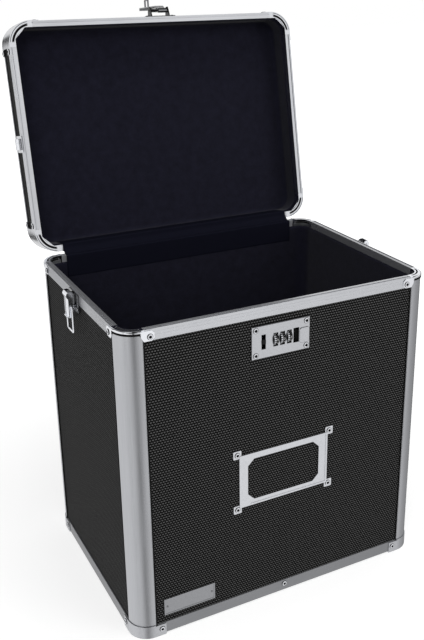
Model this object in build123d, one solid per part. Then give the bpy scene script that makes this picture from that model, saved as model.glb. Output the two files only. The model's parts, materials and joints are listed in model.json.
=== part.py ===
from build123d import *
from math import cos, hypot, pi, radians, sin
import os

"""Record carrying case: an upright box of laminated boards in an aluminium frame, with a hinged lid,
two side draw latches and a three-dial lock. Millimetres, +Z up, front towards -Y.
The origin is the centre of the footprint, on the floor. The lid is modelled shut and then swung open."""

# ---- driving dimensions of the case ----
case_width = 335.0
case_depth = 243.0
body_height = 329.0          # lower edge of the base rails up to the mating plane
foot_height = 1.5            # the base corner caps stand this much below the rails
board_thick = 4.0                  # laminated board of every wall
metal_thick = 1.1                  # wall of the aluminium extrusions
board_play = 0.05            # play of a board in its channel, on each side
lining_thick = 0.8                 # felt lining over the extrusions
felt_thick = 1.5
lid_felt_thick = 1.0         # felt on the lid's inner face
lining_gap = 0.5             # the lining's cut edge round the lock
corner_radius = 20.0         # outer radius of the body's corner posts
post_reach = 22.5            # flange of a post, measured from the sharp corner
board_end = 16.5             # where a wall board ends inside a post's slot
post_wall_thick = 1.2
post_hollow_sweep = 54.0     # degrees of the post's hollow
post_groove_start = 20.5     # fine groove in each flange, from the sharp corner
post_groove_width = 0.7
post_groove_depth = 0.4

# rims of the body and of the lid
rim_height = 11.0
rim_inner_height = 8.0
rim_web = 2.5
groove_start = 1.1
groove_width = 1.7
groove_depth = 1.6
tongue_height = 1.1
tongue_play = 0.3
bead_pitch = 3.0             # two fine grooves in a rim's outer wall
bead_depth = 0.16
rear_rim_relief = 0.5        # room for the hinge flap between the rear rims

# base rails and pressed corners
base_rail_height = 12.4
base_flange = 14.0
rail_top_break = 0.4         # broken edge along the top of a base rail
pressed_thick = 0.8                # sheet of the pressed corners, holder and plates
cap_leg_length = 31.5
cap_run_drop = 1.0           # the cap's legs end this much below its round wall
cap_chamfer = 6.0            # inner corner of the cap's floor
crown_trim = 1.0             # how far the cut round a corner's crown reaches past its skin
ear_start = 18.5
ear_reach = 32.0
ear_drop = 1.2               # top of the ear below the mating plane
ear_low = 11.0
ear_slant_drop = 5.4         # where the ear's edge starts to slant
ear_foot_start = 21.7
ear_nose = 2.2               # half of the ear's straight end
ear_rivet_inset = 4.3
ear_rivet_drop = 7.0
cap_rivet_inset = 4.5
cap_rivet_rise = 6.2
rail_rivet_rise = 7.6
rim_corner_height = 4.6
rim_corner_round = 1.9

# lid
lid_depth = 36.5
lid_corner_radius = 24.0
lid_corner_reach = 26.0
lid_ear_reach = 33.0
board_lap = 0.5              # a lid board's end past the start of the corner's curve
lid_edge_radius = 4.5
lid_edge_height = 6.5
lid_edge_flange = 12.0
lid_chamfer_length = 24.3    # the inner corner's 45 degree line meets both faces' planes this far along
lid_strip_drop = 2.5         # the corner's ears stop this much short of the edge rail
crescent_start = 196.0       # degrees, where the corner's two pressed arcs begin
crescent_sweep = 58.0
crescent_width = 0.9
crescent_depth = 1.4
crescent_inset_outer = 3.6
crescent_inset_inner = 5.5
lid_rivet_inset = 3.2
lid_rivet_rise = 6.2
lid_rivet_drop = 6.6
open_angle = 100.9

# stop hinges
hinge_offset = 2.4
hinge_barrel_radius = 2.2
hinge_pin_radius = 1.1
hinge_width = 40.0
hinge_knuckle = 12.0
hinge_leaf_height = 26.0
hinge_leaf_thick = 1.2
hinge_spacing = 190.0
hinge_play = 0.3
stop_arm_length = 7.0
stop_arm_gap = 0.1           # the open lid's leaf rests on the arm
stop_arm_root = 0.6          # the arm's root inside its knuckle
pin_play = 0.05
pin_end = 0.5                # a pin stands out of its knuckles by this

# hinge flap
flap_width = 280.0
flap_thick = 0.7
flap_drop = 25.0
flap_edge = 1.6              # where the flap leaves the rear rim's top
flap_slack = 0.6             # further in on the lid's rim
flap_gap = 0.15              # from the lining and the rims

# label holder
holder_x = -1.6
holder_z = 147.0
holder_width = 102.0
holder_height = 59.0
window_width = 82.0
window_height = 46.0
window_chamfer = 7.0
window_shift = 0.5           # the window sits this much left of the holder's middle
holder_lip = 3.0
holder_groove = 0.9
holder_groove_depth = 0.5
holder_groove_start = 12.0
tab_corner = 1.2
card_gap = 0.7
tab_width = 9.0
tab_spacing_x = 105.8
tab_spacing_z = 62.0

# name plate, left bare
plate_inset = 30.45          # left edge of the plate from the case's left side
plate_z = 29.6
plate_width = 55.5
plate_height = 18.5
plate_pin_spacing = 48.5
plate_thick = 1.2
plate_border = 1.2
plate_field_depth = 0.3
plate_pin_radius = 1.1
plate_pin_head = 0.6
plate_pin_shank = 0.5

# lock
lock_x = -6.8
lock_drop = 35.8             # lock's centre below the mating plane
lock_width = 63.5
lock_height = 33.8
lock_plate_thick = 2.0
lock_body_width = 51.0
lock_body_height = 26.0
lock_wall_thick = 0.9
lock_plate_bevel = 0.6
screw_inset = 4.0
pad_rise = 0.8               # finger pad beside the staple's slot
pad_low = 9.4
pad_high = 6.8
pad_gap = 0.6                # from the staple's slot
pad_margin = 0.9             # from the plate's end
pad_corner = 2.4
pad_bevel = 0.5
dial_radius = 6.8
dial_setback = 3.6           # dial axis behind the plate's face
dial_width = 5.0
dial_pitch = 7.4
dial_offset = -6.2           # first dial from the lock's centre
dial_count = 3
dial_play = 0.3
dial_slit_play = 0.15        # a dial in its window, on each side
dial_notches = 10
window_half = 6.95
staple_slot_offset = 16.35   # from the lock's centre
staple_slot_width = 6.3
staple_slot_half = 7.6
shaft_radius = 1.5
shaft_seat = 1.2             # the shaft's end in the housing's wall
slider_offset = -19.4        # from the lock's centre
slider_slot_width = 4.6
slider_travel = 5.0
bolt_travel = 2.2
slider_thick = 1.0
slider_play = 0.1            # between the slider and the face plate
knob_round = 0.9
slider_low = 10.4            # the slider's plate below and above the dial axis
slider_high = 4.0
slider_side = 1.7            # the plate beside its slot in the face plate
knob_half = 2.4
knob_rise = 1.0
bolt_depth = 3.3             # front of the bolt behind the plate's face
bolt_thick = 2.0
bolt_height = 2.2
bolt_rise = 8.6              # underside of the bolt bar above the dial axis
bolt_tip_offset = 17.2       # from the lock's centre
bolt_nose = 2.3              # the nose's reach beyond the leg
bolt_leg = 1.2
nose_low = 2.0               # the nose above the dial axis
nose_high = 3.3
screw_head_radius = 3.0
screw_head_height = 0.8
screw_cross_half = 1.7
screw_cross_width = 0.5
screw_cross_depth = 0.45
drive_pin_radius = 0.9
drive_pin_low = 3.5          # the drive pin below the dial axis
tail_half = 1.6
well_side = 2.2

# hasp
hasp_axis_rise = 9.0         # hinge axis above the mating plane
hasp_axis_out = 7.5          # hinge axis in front of the lid
hasp_flip = 175.2
hasp_barrel_radius = 2.6
hasp_pin_radius = 1.1
hasp_base_width = 36.0
hasp_base_low = 2.5
hasp_base_high = 19.0
hasp_base_thick = 1.0
hasp_base_corner = 2.0
hasp_width = 22.4            # over the two ears
hasp_ear_thick = 1.2
hasp_ear_half = 5.5          # half of an ear where it leaves the base
hasp_ear_crown = 3.6         # the ear stands this much beyond the hinge axis
hasp_rivet_inset = 3.2
hasp_rivet_low = 6.5
hasp_rivet_high = 15.5
arm_width = 10.4
arm_thick = 1.4
arm_inner = 2.2              # back of the arm in front of the lid's face
arm_tip_below = 11.2         # tip of the arm below the lock's centre
arm_bend_drop = 8.5          # where the arm bends out to its knuckle, below the hinge axis
arm_tip_lift = 3.2
arm_tip_thick = 1.3
staple_thick = 1.8
staple_wire_thick = 1.8
staple_length = 11.0
staple_height = 9.0
spring_wire_radius = 0.4
spring_turns = 5.25
spring_pitch = 1.5

# side latches
latch_y = 4.0
latch_width = 30.0
latch_high = 0.3             # top of the latch plate below the mating plane
latch_low = 20.0
latch_corner = 3.0
latch_plate_thick = 1.0
latch_ear_low = 8.0
latch_ear_thick = 1.0
latch_ear_radius = 1.5       # the ear's round end about the lever's pivot
lever_half = 5.8
lever_wall_thick = 0.9
lever_web_thick = 0.9
lever_out = 8.6
lever_corner = 0.8
lever_in = 2.2
lever_rise = 1.0             # top of the lever above the mating plane
lever_pivot_drop = 2.8
lever_pivot_out = 6.0
lever_low = 25.5
lever_lip = 1.0
lever_lip_height = 1.2
lever_dish_depth = 0.4
lever_dish_inset = 1.8
pivot_radius = 0.8
bail_drop = 14.0
bail_out = 5.4
bail_wire_radius = 1.1
bail_half = 8.6
bail_length = 26.5
bail_bend = 2.6
bail_lean = 5.9              # the hooked bail leans towards the lid by this angle
latch_rivet_half = 11.0
latch_rivet_drop = 16.0
keeper_rivet_rise = 20.0
latch_rivet_radius = 1.9
latch_shank_radius = 0.9
keeper_width = 18.0
keeper_low = 3.0
keeper_high = 24.0
keeper_corner = 1.2
keeper_plate_thick = 0.9
hook_width = 12.0
hook_thick = 1.2
hook_lip = 3.0
running_gap = 0.3

# rivets
rivet_radius = 2.6
rivet_head = 0.9
shank_radius = 1.0
dimple_radius = 0.9
dimple_depth = 0.5

# ---- sizes that follow ----
base_z = foot_height
rim_z = base_z + body_height
channel = board_thick + 2 * board_play
rim_width = channel + 2 * metal_thick
board_out = metal_thick + board_play                    # outer face of a wall board behind the frame's face
board_in = board_out + board_thick
lining_in = rim_width + lining_thick
half_w = case_width / 2
half_d = case_depth / 2
front_y = -half_d
floor_z = base_z + metal_thick + board_thick
plate_face = front_y + metal_thick - lock_plate_thick
dial_y = plate_face + dial_setback
lock_cy = rim_z - lock_drop
hinge_y = half_d + hinge_offset
HINGE = Axis((0, hinge_y, rim_z), (1, 0, 0))
hasp_y = front_y - hasp_axis_out
hasp_z = rim_z + hasp_axis_rise
HASP = Axis((0, hasp_y, hasp_z), (1, 0, 0))
latch_face = half_w
plate_x = -half_w + plate_inset + plate_width / 2
slider_x = lock_x + slider_offset
staple_x = lock_x + staple_slot_offset
bolt_tip = lock_x + bolt_tip_offset

SIDES = {
    "front": (0, 0, -half_d, case_width),
    "rear": (180, 0, half_d, case_width),
    "left": (-90, -half_w, 0, case_depth),
    "right": (90, half_w, 0, case_depth),
}
CORNERS = {
    "front_left": (0, -half_w, -half_d),
    "front_right": (90, half_w, -half_d),
    "rear_right": (180, half_w, half_d),
    "rear_left": (-90, -half_w, half_d),
}
corner_mirror = Plane((0, 0, 0), z_dir=(1, -1, 0))   # swaps the two sides that meet in a corner
diagonal = 225.0                                     # degrees, from a corner's centre to its outside
parts = {}


# ---- helpers ----
def block(x0, x1, y0, y1, z0, z1):
    """A box between two opposite corners."""
    centre = ((x0 + x1) / 2, (y0 + y1) / 2, (z0 + z1) / 2)
    return Pos(*centre) * Box(abs(x1 - x0), abs(y1 - y0), abs(z1 - z0))


def rod(start, direction, length, radius):
    """A round bar from a point, along a direction."""
    return Plane(origin=start, z_dir=direction) * Pos(0, 0, length / 2) * Cylinder(radius, length)


def polygon(points):
    """A flat face in the plan, with straight edges through the points."""
    return make_face(Polyline(*points, close=True))


def upright(face, low, high):
    """A plan face pulled up between two heights."""
    return Pos(0, 0, low) * extrude(face, high - low)


def along_x(points, length):
    """A section of (inward, up) points, pulled along X about the middle, facing -Y."""
    section = Plane.YZ * polygon(points)
    return Pos(-length / 2, 0, 0) * extrude(section, length, dir=(1, 0, 0))


def on_side(shape, side):
    """Turn a piece made for the front plane at the origin to its side of the case."""
    angle, x, y, _ = SIDES[side]
    return Pos(x, y, 0) * Rot(0, 0, angle) * shape


def at_corner(shape, corner):
    """Turn a piece made in a corner at the origin, inwards along +X and +Y, to its corner."""
    angle, x, y = CORNERS[corner]
    return Pos(x, y, 0) * Rot(0, 0, angle) * shape


def opened(shape):
    """Swing a lid piece from shut to the open rest pose."""
    return shape.rotate(HINGE, -open_angle)


def flipped(shape):
    """Turn a hasp piece from latched to flipped back, then swing it with the lid."""
    return opened(shape.rotate(HASP, -hasp_flip))


def mirrored(shape):
    """The same piece on the other side of the case."""
    return mirror(shape, about=Plane.YZ)


def keep(name, pieces):
    """Store the solids of one node."""
    solids = []
    for piece in pieces if isinstance(pieces, list) else [pieces]:
        solids += list(piece.solids())
    parts[name] = solids


def rivet(point, outward, radius=rivet_radius, head=rivet_head, shank=shank_radius):
    """A tubular rivet with its head's underside at the point and a short shank behind it."""
    dimple, floor = min(dimple_radius, radius / 2), head - dimple_depth
    shoulder = (radius + dimple) / 2
    outline = polygon([(0, -pressed_thick), (shank, -pressed_thick), (shank, 0), (radius, 0),
                       (shoulder, head), (dimple, head), (dimple / 2, floor), (0, floor)])
    turned = revolve(Plane.XZ * outline, axis=Axis.Z)
    return Plane(origin=point, z_dir=outward) * turned


def holes(points, outward, radius=shank_radius, depth=pressed_thick):
    """The holes that the shanks of rivets sit in."""
    back = tuple(-c for c in outward)
    return [rod(p, back, depth, radius) for p in points]


# ---- aluminium frame of the body ----
def post_outline():
    """The outer line of a corner post: two flanges and two arcs about one centre."""
    r, reach, inner = corner_radius, post_reach, rim_width
    return make_face([
        Line((reach, 0), (r, 0)),
        CenterArc((r, r), r, 270, -90),
        Line((0, r), (0, reach)),
        Line((0, reach), (inner, reach)),
        Line((inner, reach), (inner, r)),
        CenterArc((r, r), r - inner, 180, 90),
        Line((r, inner), (reach, inner)),
        Line((reach, inner), (reach, 0)),
    ])


def ring_sector(centre, inner, outer, start, sweep):
    """A plan face between two arcs and two spokes."""
    def at(radius, angle):
        return (centre + radius * cos(radians(angle)), centre + radius * sin(radians(angle)))
    return make_face([
        CenterArc((centre, centre), outer, start, sweep),
        Line(at(outer, start + sweep), at(inner, start + sweep)),
        CenterArc((centre, centre), inner, start + sweep, -sweep),
        Line(at(inner, start), at(outer, start)),
    ])


def corner_post():
    """A hollow quarter-round post with a slot for each of its two wall boards."""
    low, high = base_z + metal_thick, rim_z - rim_corner_height
    post = upright(post_outline(), low, high)
    across = block(board_end, post_reach, metal_thick, metal_thick + channel, low, high)
    along = block(metal_thick, metal_thick + channel, board_end, post_reach, low, high)
    inner = corner_radius - rim_width + post_wall_thick
    outer = corner_radius - post_wall_thick
    sector = ring_sector(corner_radius, inner, outer, diagonal - post_hollow_sweep / 2, post_hollow_sweep)
    hollow = upright(sector, low, high)
    groove_end = post_groove_start + post_groove_width
    groove = block(post_groove_start, groove_end, 0, post_groove_depth, low, high)
    return post - across - along - hollow - groove - mirror(groove, about=corner_mirror)


def rim_points(up, with_groove, with_tongue, relief):
    """Section of a rim: a channel over the board's edge, outer wall with two fine grooves."""
    top = relief
    beads = []
    for n in (1, 2):
        v = n * bead_pitch
        beads += [(0, -v + bead_depth), (bead_depth, -v), (0, -v - bead_depth)]
    line = [(0, -top)] + beads + [(0, -rim_height), (metal_thick, -rim_height), (metal_thick, -rim_web)]
    line += [(metal_thick + channel, -rim_web), (metal_thick + channel, -rim_inner_height)]
    line += [(rim_width, -rim_inner_height), (rim_width, -top)]
    g0, g1 = groove_start, groove_start + groove_width
    if with_groove:
        line += [(g1, 0), (g1, -groove_depth), (g0, -groove_depth), (g0, 0)]
    if with_tongue:
        line += [(g1 - tongue_play, 0), (g1 - tongue_play, tongue_height)]
        line += [(g0 + tongue_play, tongue_height), (g0 + tongue_play, 0)]
    return [(u, up * v) for u, v in line]


def case_rim(side):
    """A straight rim of the body between two corners."""
    rear = side == "rear"
    points = rim_points(1, not rear, False, rear_rim_relief if rear else 0)
    bar = along_x(points, SIDES[side][3] - 2 * post_reach)
    return on_side(Pos(0, 0, rim_z) * bar, side)


def rim_corner():
    """A pressed corner of the body's rim: a band with a rounded top edge and an ear along each rim."""
    r, top, outer = corner_radius, rim_z, corner_radius + pressed_thick
    band_low = top - rim_corner_height
    band = upright(post_outline(), band_low, top)
    skin = upright(ring_sector(r, r - pressed_thick, outer, 180, 90), band_low, top)
    crown_x, crown_z, soft = r - outer, top - rim_corner_round, rim_corner_round
    spare = make_face([
        Line((crown_x + soft, top), (crown_x - crown_trim, top)),
        Line((crown_x - crown_trim, top), (crown_x - crown_trim, crown_z)),
        Line((crown_x - crown_trim, crown_z), (crown_x, crown_z)),
        CenterArc((crown_x + soft, crown_z), soft, 180, -90),
    ])
    spare = Pos(0, r, 0) * (Plane.XZ * spare)
    spare = revolve(spare, axis=Axis((r, r, 0), (0, 0, 1)), revolution_arc=90)
    high, low, slant = top - ear_drop, top - ear_low, top - ear_slant_drop
    mid = (low + high) / 2
    tip = ear_reach - (high - low) / 2 + ear_nose
    plate = polygon([(ear_start, slant), (ear_start, high), (tip, high), (ear_reach, mid + ear_nose),
                     (ear_reach, mid - ear_nose), (tip, low), (ear_foot_start, low)])
    ear = extrude(Plane.XZ * plate, pressed_thick)
    return (band + skin - spare) + ear + mirror(ear, about=corner_mirror)


def base_rail_points():
    """Section of a base rail: an outer wall and a flange under the boards."""
    return [(0, 0), (base_flange, 0), (base_flange, metal_thick), (metal_thick, metal_thick),
            (metal_thick, base_rail_height), (rail_top_break, base_rail_height),
            (0, base_rail_height - rail_top_break)]


def base_corner():
    """A pressed cap round a bottom corner. Its floor is the case's foot."""
    r, leg, high = corner_radius, cap_leg_length, base_z + base_rail_height
    wall = upright(ring_sector(r, r, r + pressed_thick, 180, 90), 0, high)
    run = block(r, leg, -pressed_thick, 0, 0, high - cap_run_drop)
    skirt = block(-pressed_thick, 0, r, leg, 0, high - cap_run_drop)
    step = base_flange + cap_chamfer
    under = make_face([
        Line((leg, 0), (r, 0)),
        CenterArc((r, r), r, 270, -90),
        Line((0, r), (0, leg)),
        Line((0, leg), (base_flange, leg)),
        Line((base_flange, leg), (base_flange, step)),
        Line((base_flange, step), (step, base_flange)),
        Line((step, base_flange), (leg, base_flange)),
        Line((leg, base_flange), (leg, 0)),
    ])
    floor = upright(under, 0, base_z)
    inner_floor = upright(under, base_z, base_z + metal_thick)
    inner_floor = inner_floor - block(post_reach, leg, 0, leg, base_z, base_z + metal_thick)
    inner_floor = inner_floor - block(0, leg, post_reach, leg, base_z, base_z + metal_thick)
    return wall + run + skirt + floor + inner_floor


def board_blank(side):
    """A wall board with its top corners notched round the rim corners."""
    length = SIDES[side][3]
    low, high = base_z + metal_thick, rim_z - rim_web
    sheet = block(-length / 2 + board_end, length / 2 - board_end, board_out, board_in, low, high)
    for end in (-1, 1):
        x = end * length / 2
        sheet = sheet - block(x, x - end * post_reach, 0, rim_width, rim_z - rim_corner_height, rim_z)
    return on_side(sheet, side)


def post_spaces(low, high):
    """The corners that the four posts stand in, for trimming what lies between them."""
    r, reach, inner = corner_radius, post_reach, rim_width
    space = make_face([
        Line((0, 0), (reach, 0)),
        Line((reach, 0), (reach, inner)),
        Line((reach, inner), (r, inner)),
        CenterArc((r, r), r - inner, 270, -90),
        Line((inner, r), (inner, reach)),
        Line((inner, reach), (0, reach)),
        Line((0, reach), (0, 0)),
    ])
    return [at_corner(upright(space, low, high), c) for c in CORNERS]


def rounded_box(inset, radius, low, high, width=case_width, depth=case_depth):
    """An upright box inside the case's outline, with round corners."""
    plan = RectangleRounded(width - 2 * inset, depth - 2 * inset, radius)
    return Pos(0, 0, low) * extrude(plan, high - low)


def cap_rivet_points(corner_names, z, along):
    """Where a rivet sits on each leg of a corner piece."""
    spots = []
    for name in corner_names:
        _, x, y = CORNERS[name]
        sx, sy = (1 if x < 0 else -1), (1 if y < 0 else -1)
        spots.append(((x + sx * along, y - sy * pressed_thick, z), (0, -sy, 0)))
        spots.append(((x - sx * pressed_thick, y + sy * along, z), (-sx, 0, 0)))
    return spots


for name in CORNERS:
    keep("corner_post_" + name, at_corner(corner_post(), name))
for name in SIDES:
    keep("rim_" + name, case_rim(name))

ear_rivets = cap_rivet_points(CORNERS, rim_z - ear_rivet_drop, ear_reach - ear_rivet_inset)
foot_rivets = cap_rivet_points(CORNERS, base_z + cap_rivet_rise, cap_leg_length - cap_rivet_inset)
rail_rivets = [((0, side * half_d, base_z + rail_rivet_rise), (0, side, 0)) for side in (-1, 1)]
rim_corners = [at_corner(rim_corner(), name) for name in CORNERS]
base_corners = [at_corner(base_corner(), name) for name in CORNERS]
for point, outward in ear_rivets:
    rim_corners = [c - holes([point], outward)[0] for c in rim_corners]
for point, outward in foot_rivets:
    base_corners = [c - holes([point], outward)[0] for c in base_corners]
keep("rim_corners", rim_corners)
keep("base_corners", base_corners)

base_rails = []
for name in SIDES:
    bar = along_x(base_rail_points(), SIDES[name][3] - 2 * post_reach)
    bar = on_side(Pos(0, 0, base_z) * bar, name)
    for point, outward in rail_rivets:
        bar = bar - holes([point], outward)[0]
    base_rails.append(bar)
keep("base_rails", base_rails)


# ---- lock ----
def lock_box(x0, x1, depth0, depth1, z0, z1):
    """A box in the lock: x, depth behind the plate's face, and height from the dial axis."""
    return block(x0, x1, plate_face + depth0, plate_face + depth1, lock_cy + z0, lock_cy + z1)


dial_xs = [lock_x + dial_offset + n * dial_pitch for n in range(dial_count)]
dial_half = dial_width / 2
body_left = lock_x - lock_body_width / 2
body_right = lock_x + lock_body_width / 2
body_back = dial_setback + dial_radius + dial_play + lock_wall_thick
slot_left = staple_x - staple_slot_width / 2
slot_right = staple_x + staple_slot_width / 2
chamber_half = dial_radius + dial_play
slider_half = slider_slot_width / 2


def lock_plate():
    """The face plate with bevelled edges, three dial windows, the slider's slot and the staple's slot."""
    flat = lock_box(lock_x - lock_width / 2, lock_x + lock_width / 2, 0, lock_plate_thick,
                    -lock_height / 2, lock_height / 2)
    flat = chamfer(flat.faces().sort_by(Axis.Y)[0].edges(), lock_plate_bevel)
    for x in dial_xs:
        slit = dial_half + dial_slit_play
        flat = flat - lock_box(x - slit, x + slit, 0, lock_plate_thick, -window_half, window_half)
    flat = flat - lock_box(slot_left, slot_right, 0, lock_plate_thick, -staple_slot_half, staple_slot_half)
    flat = flat - lock_box(slider_x - slider_half, slider_x + slider_half, 0, lock_plate_thick,
                           -staple_slot_half, staple_slot_half)
    pad_end = lock_x + lock_width / 2 - pad_margin
    pad = lock_box(slot_right + pad_gap, pad_end, -pad_rise, 0, -pad_low, pad_high)
    pad = fillet(pad.edges().filter_by(Axis.Y), pad_corner)
    flat = flat + chamfer(pad.faces().sort_by(Axis.Y)[0].edges(), pad_bevel)
    for point in screw_points:
        flat = flat - rod(point, (0, 1, 0), lock_plate_thick, shank_radius)
    return flat


def lock_body():
    """The housing behind the plate: dial chambers, staple slot, slider well and bolt channel."""
    t = lock_plate_thick
    body = lock_box(body_left, body_right, t, body_back, -lock_body_height / 2, lock_body_height / 2)
    back = body_back - lock_wall_thick
    for x in dial_xs:
        body = body - lock_box(x - dial_half - dial_play, x + dial_half + dial_play, t, back,
                               -chamber_half, chamber_half)
    body = body - lock_box(slot_left, slot_right, t, back, -staple_slot_half, staple_slot_half)
    well_half = slider_half + well_side
    front, rear = bolt_depth - running_gap, bolt_depth + bolt_thick + running_gap
    edge = lock_body_height / 2 - shaft_seat
    body = body - lock_box(slider_x - well_half, slider_x + well_half, t, rear, -edge, edge)
    top = bolt_rise + bolt_height + running_gap
    leg_right = bolt_tip - bolt_nose + running_gap
    leg_left = bolt_tip - bolt_nose - bolt_leg - bolt_travel - running_gap
    body = body - lock_box(slider_x, leg_right, front, rear, bolt_rise - running_gap, top)
    body = body - lock_box(leg_left, leg_right, front, rear, nose_low - running_gap, top)
    return body - rod(shaft_start, (1, 0, 0), shaft_length, shaft_radius)


def dial(x):
    """A notched dial with a bore for the shaft."""
    wheel = rod((x - dial_half, dial_y, lock_cy), (1, 0, 0), dial_width, dial_radius)
    wheel = wheel - rod((x - dial_half, dial_y, lock_cy), (1, 0, 0), dial_width, shaft_radius + pin_play)
    for n in range(dial_notches):
        angle = 360 * (n + 0.5) / dial_notches
        notch = Rot(angle, 0, 0) * Pos(0, 0, dial_radius) * Rot(45, 0, 0) * Box(dial_width, 1.0, 1.0)
        wheel = wheel - Pos(x, dial_y, lock_cy) * notch
    return wheel


def release_slider():
    """A plate behind the face with a thumb knob and a slanted slot that drives the bolt."""
    front = lock_plate_thick + slider_play
    back = front + slider_thick
    side = slider_half + slider_side
    plate = lock_box(slider_x - side, slider_x + side, front, back, -slider_low, slider_high)
    half = slider_half - running_gap
    knob = lock_box(slider_x - half, slider_x + half, -knob_rise, front, -knob_half, knob_half)
    knob = fillet(knob.edges().filter_by(Axis.X).sort_by(Axis.Y)[:2], knob_round)
    pin_z = lock_cy - drive_pin_low
    ends = [(pin_x, pin_z), (pin_x - bolt_travel, pin_z - slider_travel)]
    track = polygon(slot_outline(ends, drive_pin_radius + pin_play))
    cut = Pos(0, plate_face + back, 0) * extrude(Plane.XZ * track, slider_thick)
    for x, z in ends:
        cut = cut + rod((x, plate_face + front, z), (0, 1, 0), slider_thick, drive_pin_radius + pin_play)
    return plate + knob - cut


def slot_outline(ends, radius):
    """The straight sides of a slot between two points, in its own plane."""
    (x0, z0), (x1, z1) = ends
    run = hypot(x1 - x0, z1 - z0)
    nx, nz = -(z1 - z0) / run * radius, (x1 - x0) / run * radius
    return [(x0 + nx, z0 + nz), (x1 + nx, z1 + nz), (x1 - nx, z1 - nz), (x0 - nx, z0 - nz)]


def lock_bolt():
    """The bolt: a bar over the dials, a tail with its drive pin, a leg and a nose through the staple."""
    d0, d1 = bolt_depth, bolt_depth + bolt_thick
    leg_right = bolt_tip - bolt_nose
    bar = lock_box(pin_x - tail_half, leg_right, d0, d1, bolt_rise, bolt_rise + bolt_height)
    leg = lock_box(leg_right - bolt_leg, leg_right, d0, d1, nose_low, bolt_rise)
    nose = lock_box(leg_right - bolt_leg, bolt_tip, d0, d1, nose_low, nose_high)
    tail_low = -drive_pin_low - tail_half
    tail = lock_box(pin_x - tail_half, pin_x + tail_half, d0, d1, tail_low, bolt_rise)
    pin_depth = lock_plate_thick + 2 * slider_play
    pin_start = (pin_x, plate_face + pin_depth, lock_cy - drive_pin_low)
    pin = rod(pin_start, (0, 1, 0), d0 - pin_depth, drive_pin_radius)
    return bar + leg + nose + tail + pin


pin_x = slider_x + bolt_travel / 2
shaft_length = dial_pitch * (dial_count - 1) + dial_width + 2 * shaft_seat
shaft_start = (dial_xs[0] - dial_half - shaft_seat, dial_y, lock_cy)
screw_points = [
    (lock_x + i * (lock_width / 2 - screw_inset), plate_face, lock_cy + k * (lock_height / 2 - screw_inset))
    for i in (-1, 1) for k in (-1, 1)
]
keep("lock_plate", lock_plate())
keep("lock_body", lock_body())
for n, x in enumerate(dial_xs):
    keep(f"dial_{n + 1}", dial(x))
keep("dial_shaft", rod(shaft_start, (1, 0, 0), shaft_length, shaft_radius))
keep("release_slider", release_slider())
keep("lock_bolt", lock_bolt())
screws = []
for point in screw_points:
    x, _, z = point
    head = rod(point, (0, -1, 0), screw_head_height, screw_head_radius)
    head = chamfer(head.faces().sort_by(Axis.Y)[0].edges(), screw_cross_depth)
    head = head + rod(point, (0, 1, 0), pressed_thick, shank_radius)
    long, half = screw_cross_half, screw_cross_width / 2
    front, floor = plate_face - screw_head_height, plate_face - screw_head_height + screw_cross_depth
    head = head - block(x - long, x + long, front, floor, z - half, z + half)
    screws.append(head - block(x - half, x + half, front, floor, z - long, z + long))
keep("lock_screws", screws)


# ---- boards, linings and the plates on the front ----
lock_hole = lock_box(body_left, body_right, 0, body_back, -lock_body_height / 2, lock_body_height / 2)
for name in SIDES:
    sheet = board_blank(name)
    if name == "front":
        sheet = sheet - lock_hole
    keep(name + "_panel", sheet)

floor_board = block(-half_w + board_in, half_w - board_in, -half_d + board_in, half_d - board_in,
                    base_z + metal_thick, floor_z)
lining_low, lining_high = floor_z + felt_thick, rim_z - rim_inner_height
shell = block(-half_w + board_in, half_w - board_in, -half_d + board_in, half_d - board_in,
              lining_low, lining_high)
shell = shell - rounded_box(lining_in, corner_radius - lining_in, lining_low, lining_high)
for space in post_spaces(base_z, rim_z):
    floor_board = floor_board - space
    shell = shell - space
room_half = lock_body_height / 2 + lining_gap
lock_room = lock_box(body_left - lining_gap, body_right + lining_gap, 0, body_back + lining_gap,
                     -room_half, room_half)
keep("bottom_panel", floor_board)
keep("wall_lining", shell - lock_room)
keep("floor_lining", rounded_box(rim_width, corner_radius - rim_width, floor_z, lining_low))


def label_holder():
    """A pressed frame with a chamfered window, a card gap behind it, a lipped edge and corner tabs."""
    cx, cz = holder_x, base_z + holder_z
    back = front_y + board_out
    x0, x1 = cx - holder_width / 2, cx + holder_width / 2
    z0, z1 = cz - holder_height / 2, cz + holder_height / 2
    face = back - card_gap - pressed_thick
    body = block(x0, x1, back, face, z0, z1)
    body = body - block(x0 + holder_lip, x1 - holder_lip, back, back - card_gap, z0 + holder_lip, z1)
    wx0 = x0 + (holder_width - window_width) / 2 - window_shift
    wx1, wz0 = wx0 + window_width, z0 + (holder_height - window_height) / 2
    wz1, c = wz0 + window_height, window_chamfer
    outline = polygon([(wx0 + c, wz0), (wx1 - c, wz0), (wx1, wz0 + c), (wx1, wz1 - c), (wx1 - c, wz1),
                       (wx0 + c, wz1), (wx0, wz1 - c), (wx0, wz0 + c)])
    body = body - Pos(0, back, 0) * extrude(Plane.XZ * outline, back - face)
    g = holder_groove
    deep = face + holder_groove_depth
    low = z0 + holder_lip - g
    body = body - block(x0 + holder_groove_start, x1 - holder_lip, face, deep, low, z0 + holder_lip)
    body = body - block(x1 - holder_lip, x1 - holder_lip + g, face, deep, z0 + holder_lip - g, z1)
    for i in (-1, 1):
        for k in (-1, 1):
            tx, tz = cx + i * tab_spacing_x / 2, cz + k * tab_spacing_z / 2
            half = tab_width / 2
            ear = block(tx - half, tx + half, back, back - pressed_thick, tz - half, tz + half)
            body = body + fillet(ear.edges().filter_by(Axis.Y), tab_corner)
            body = body - rod((tx, back - pressed_thick, tz), (0, 1, 0), pressed_thick, shank_radius)
    return body


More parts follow.
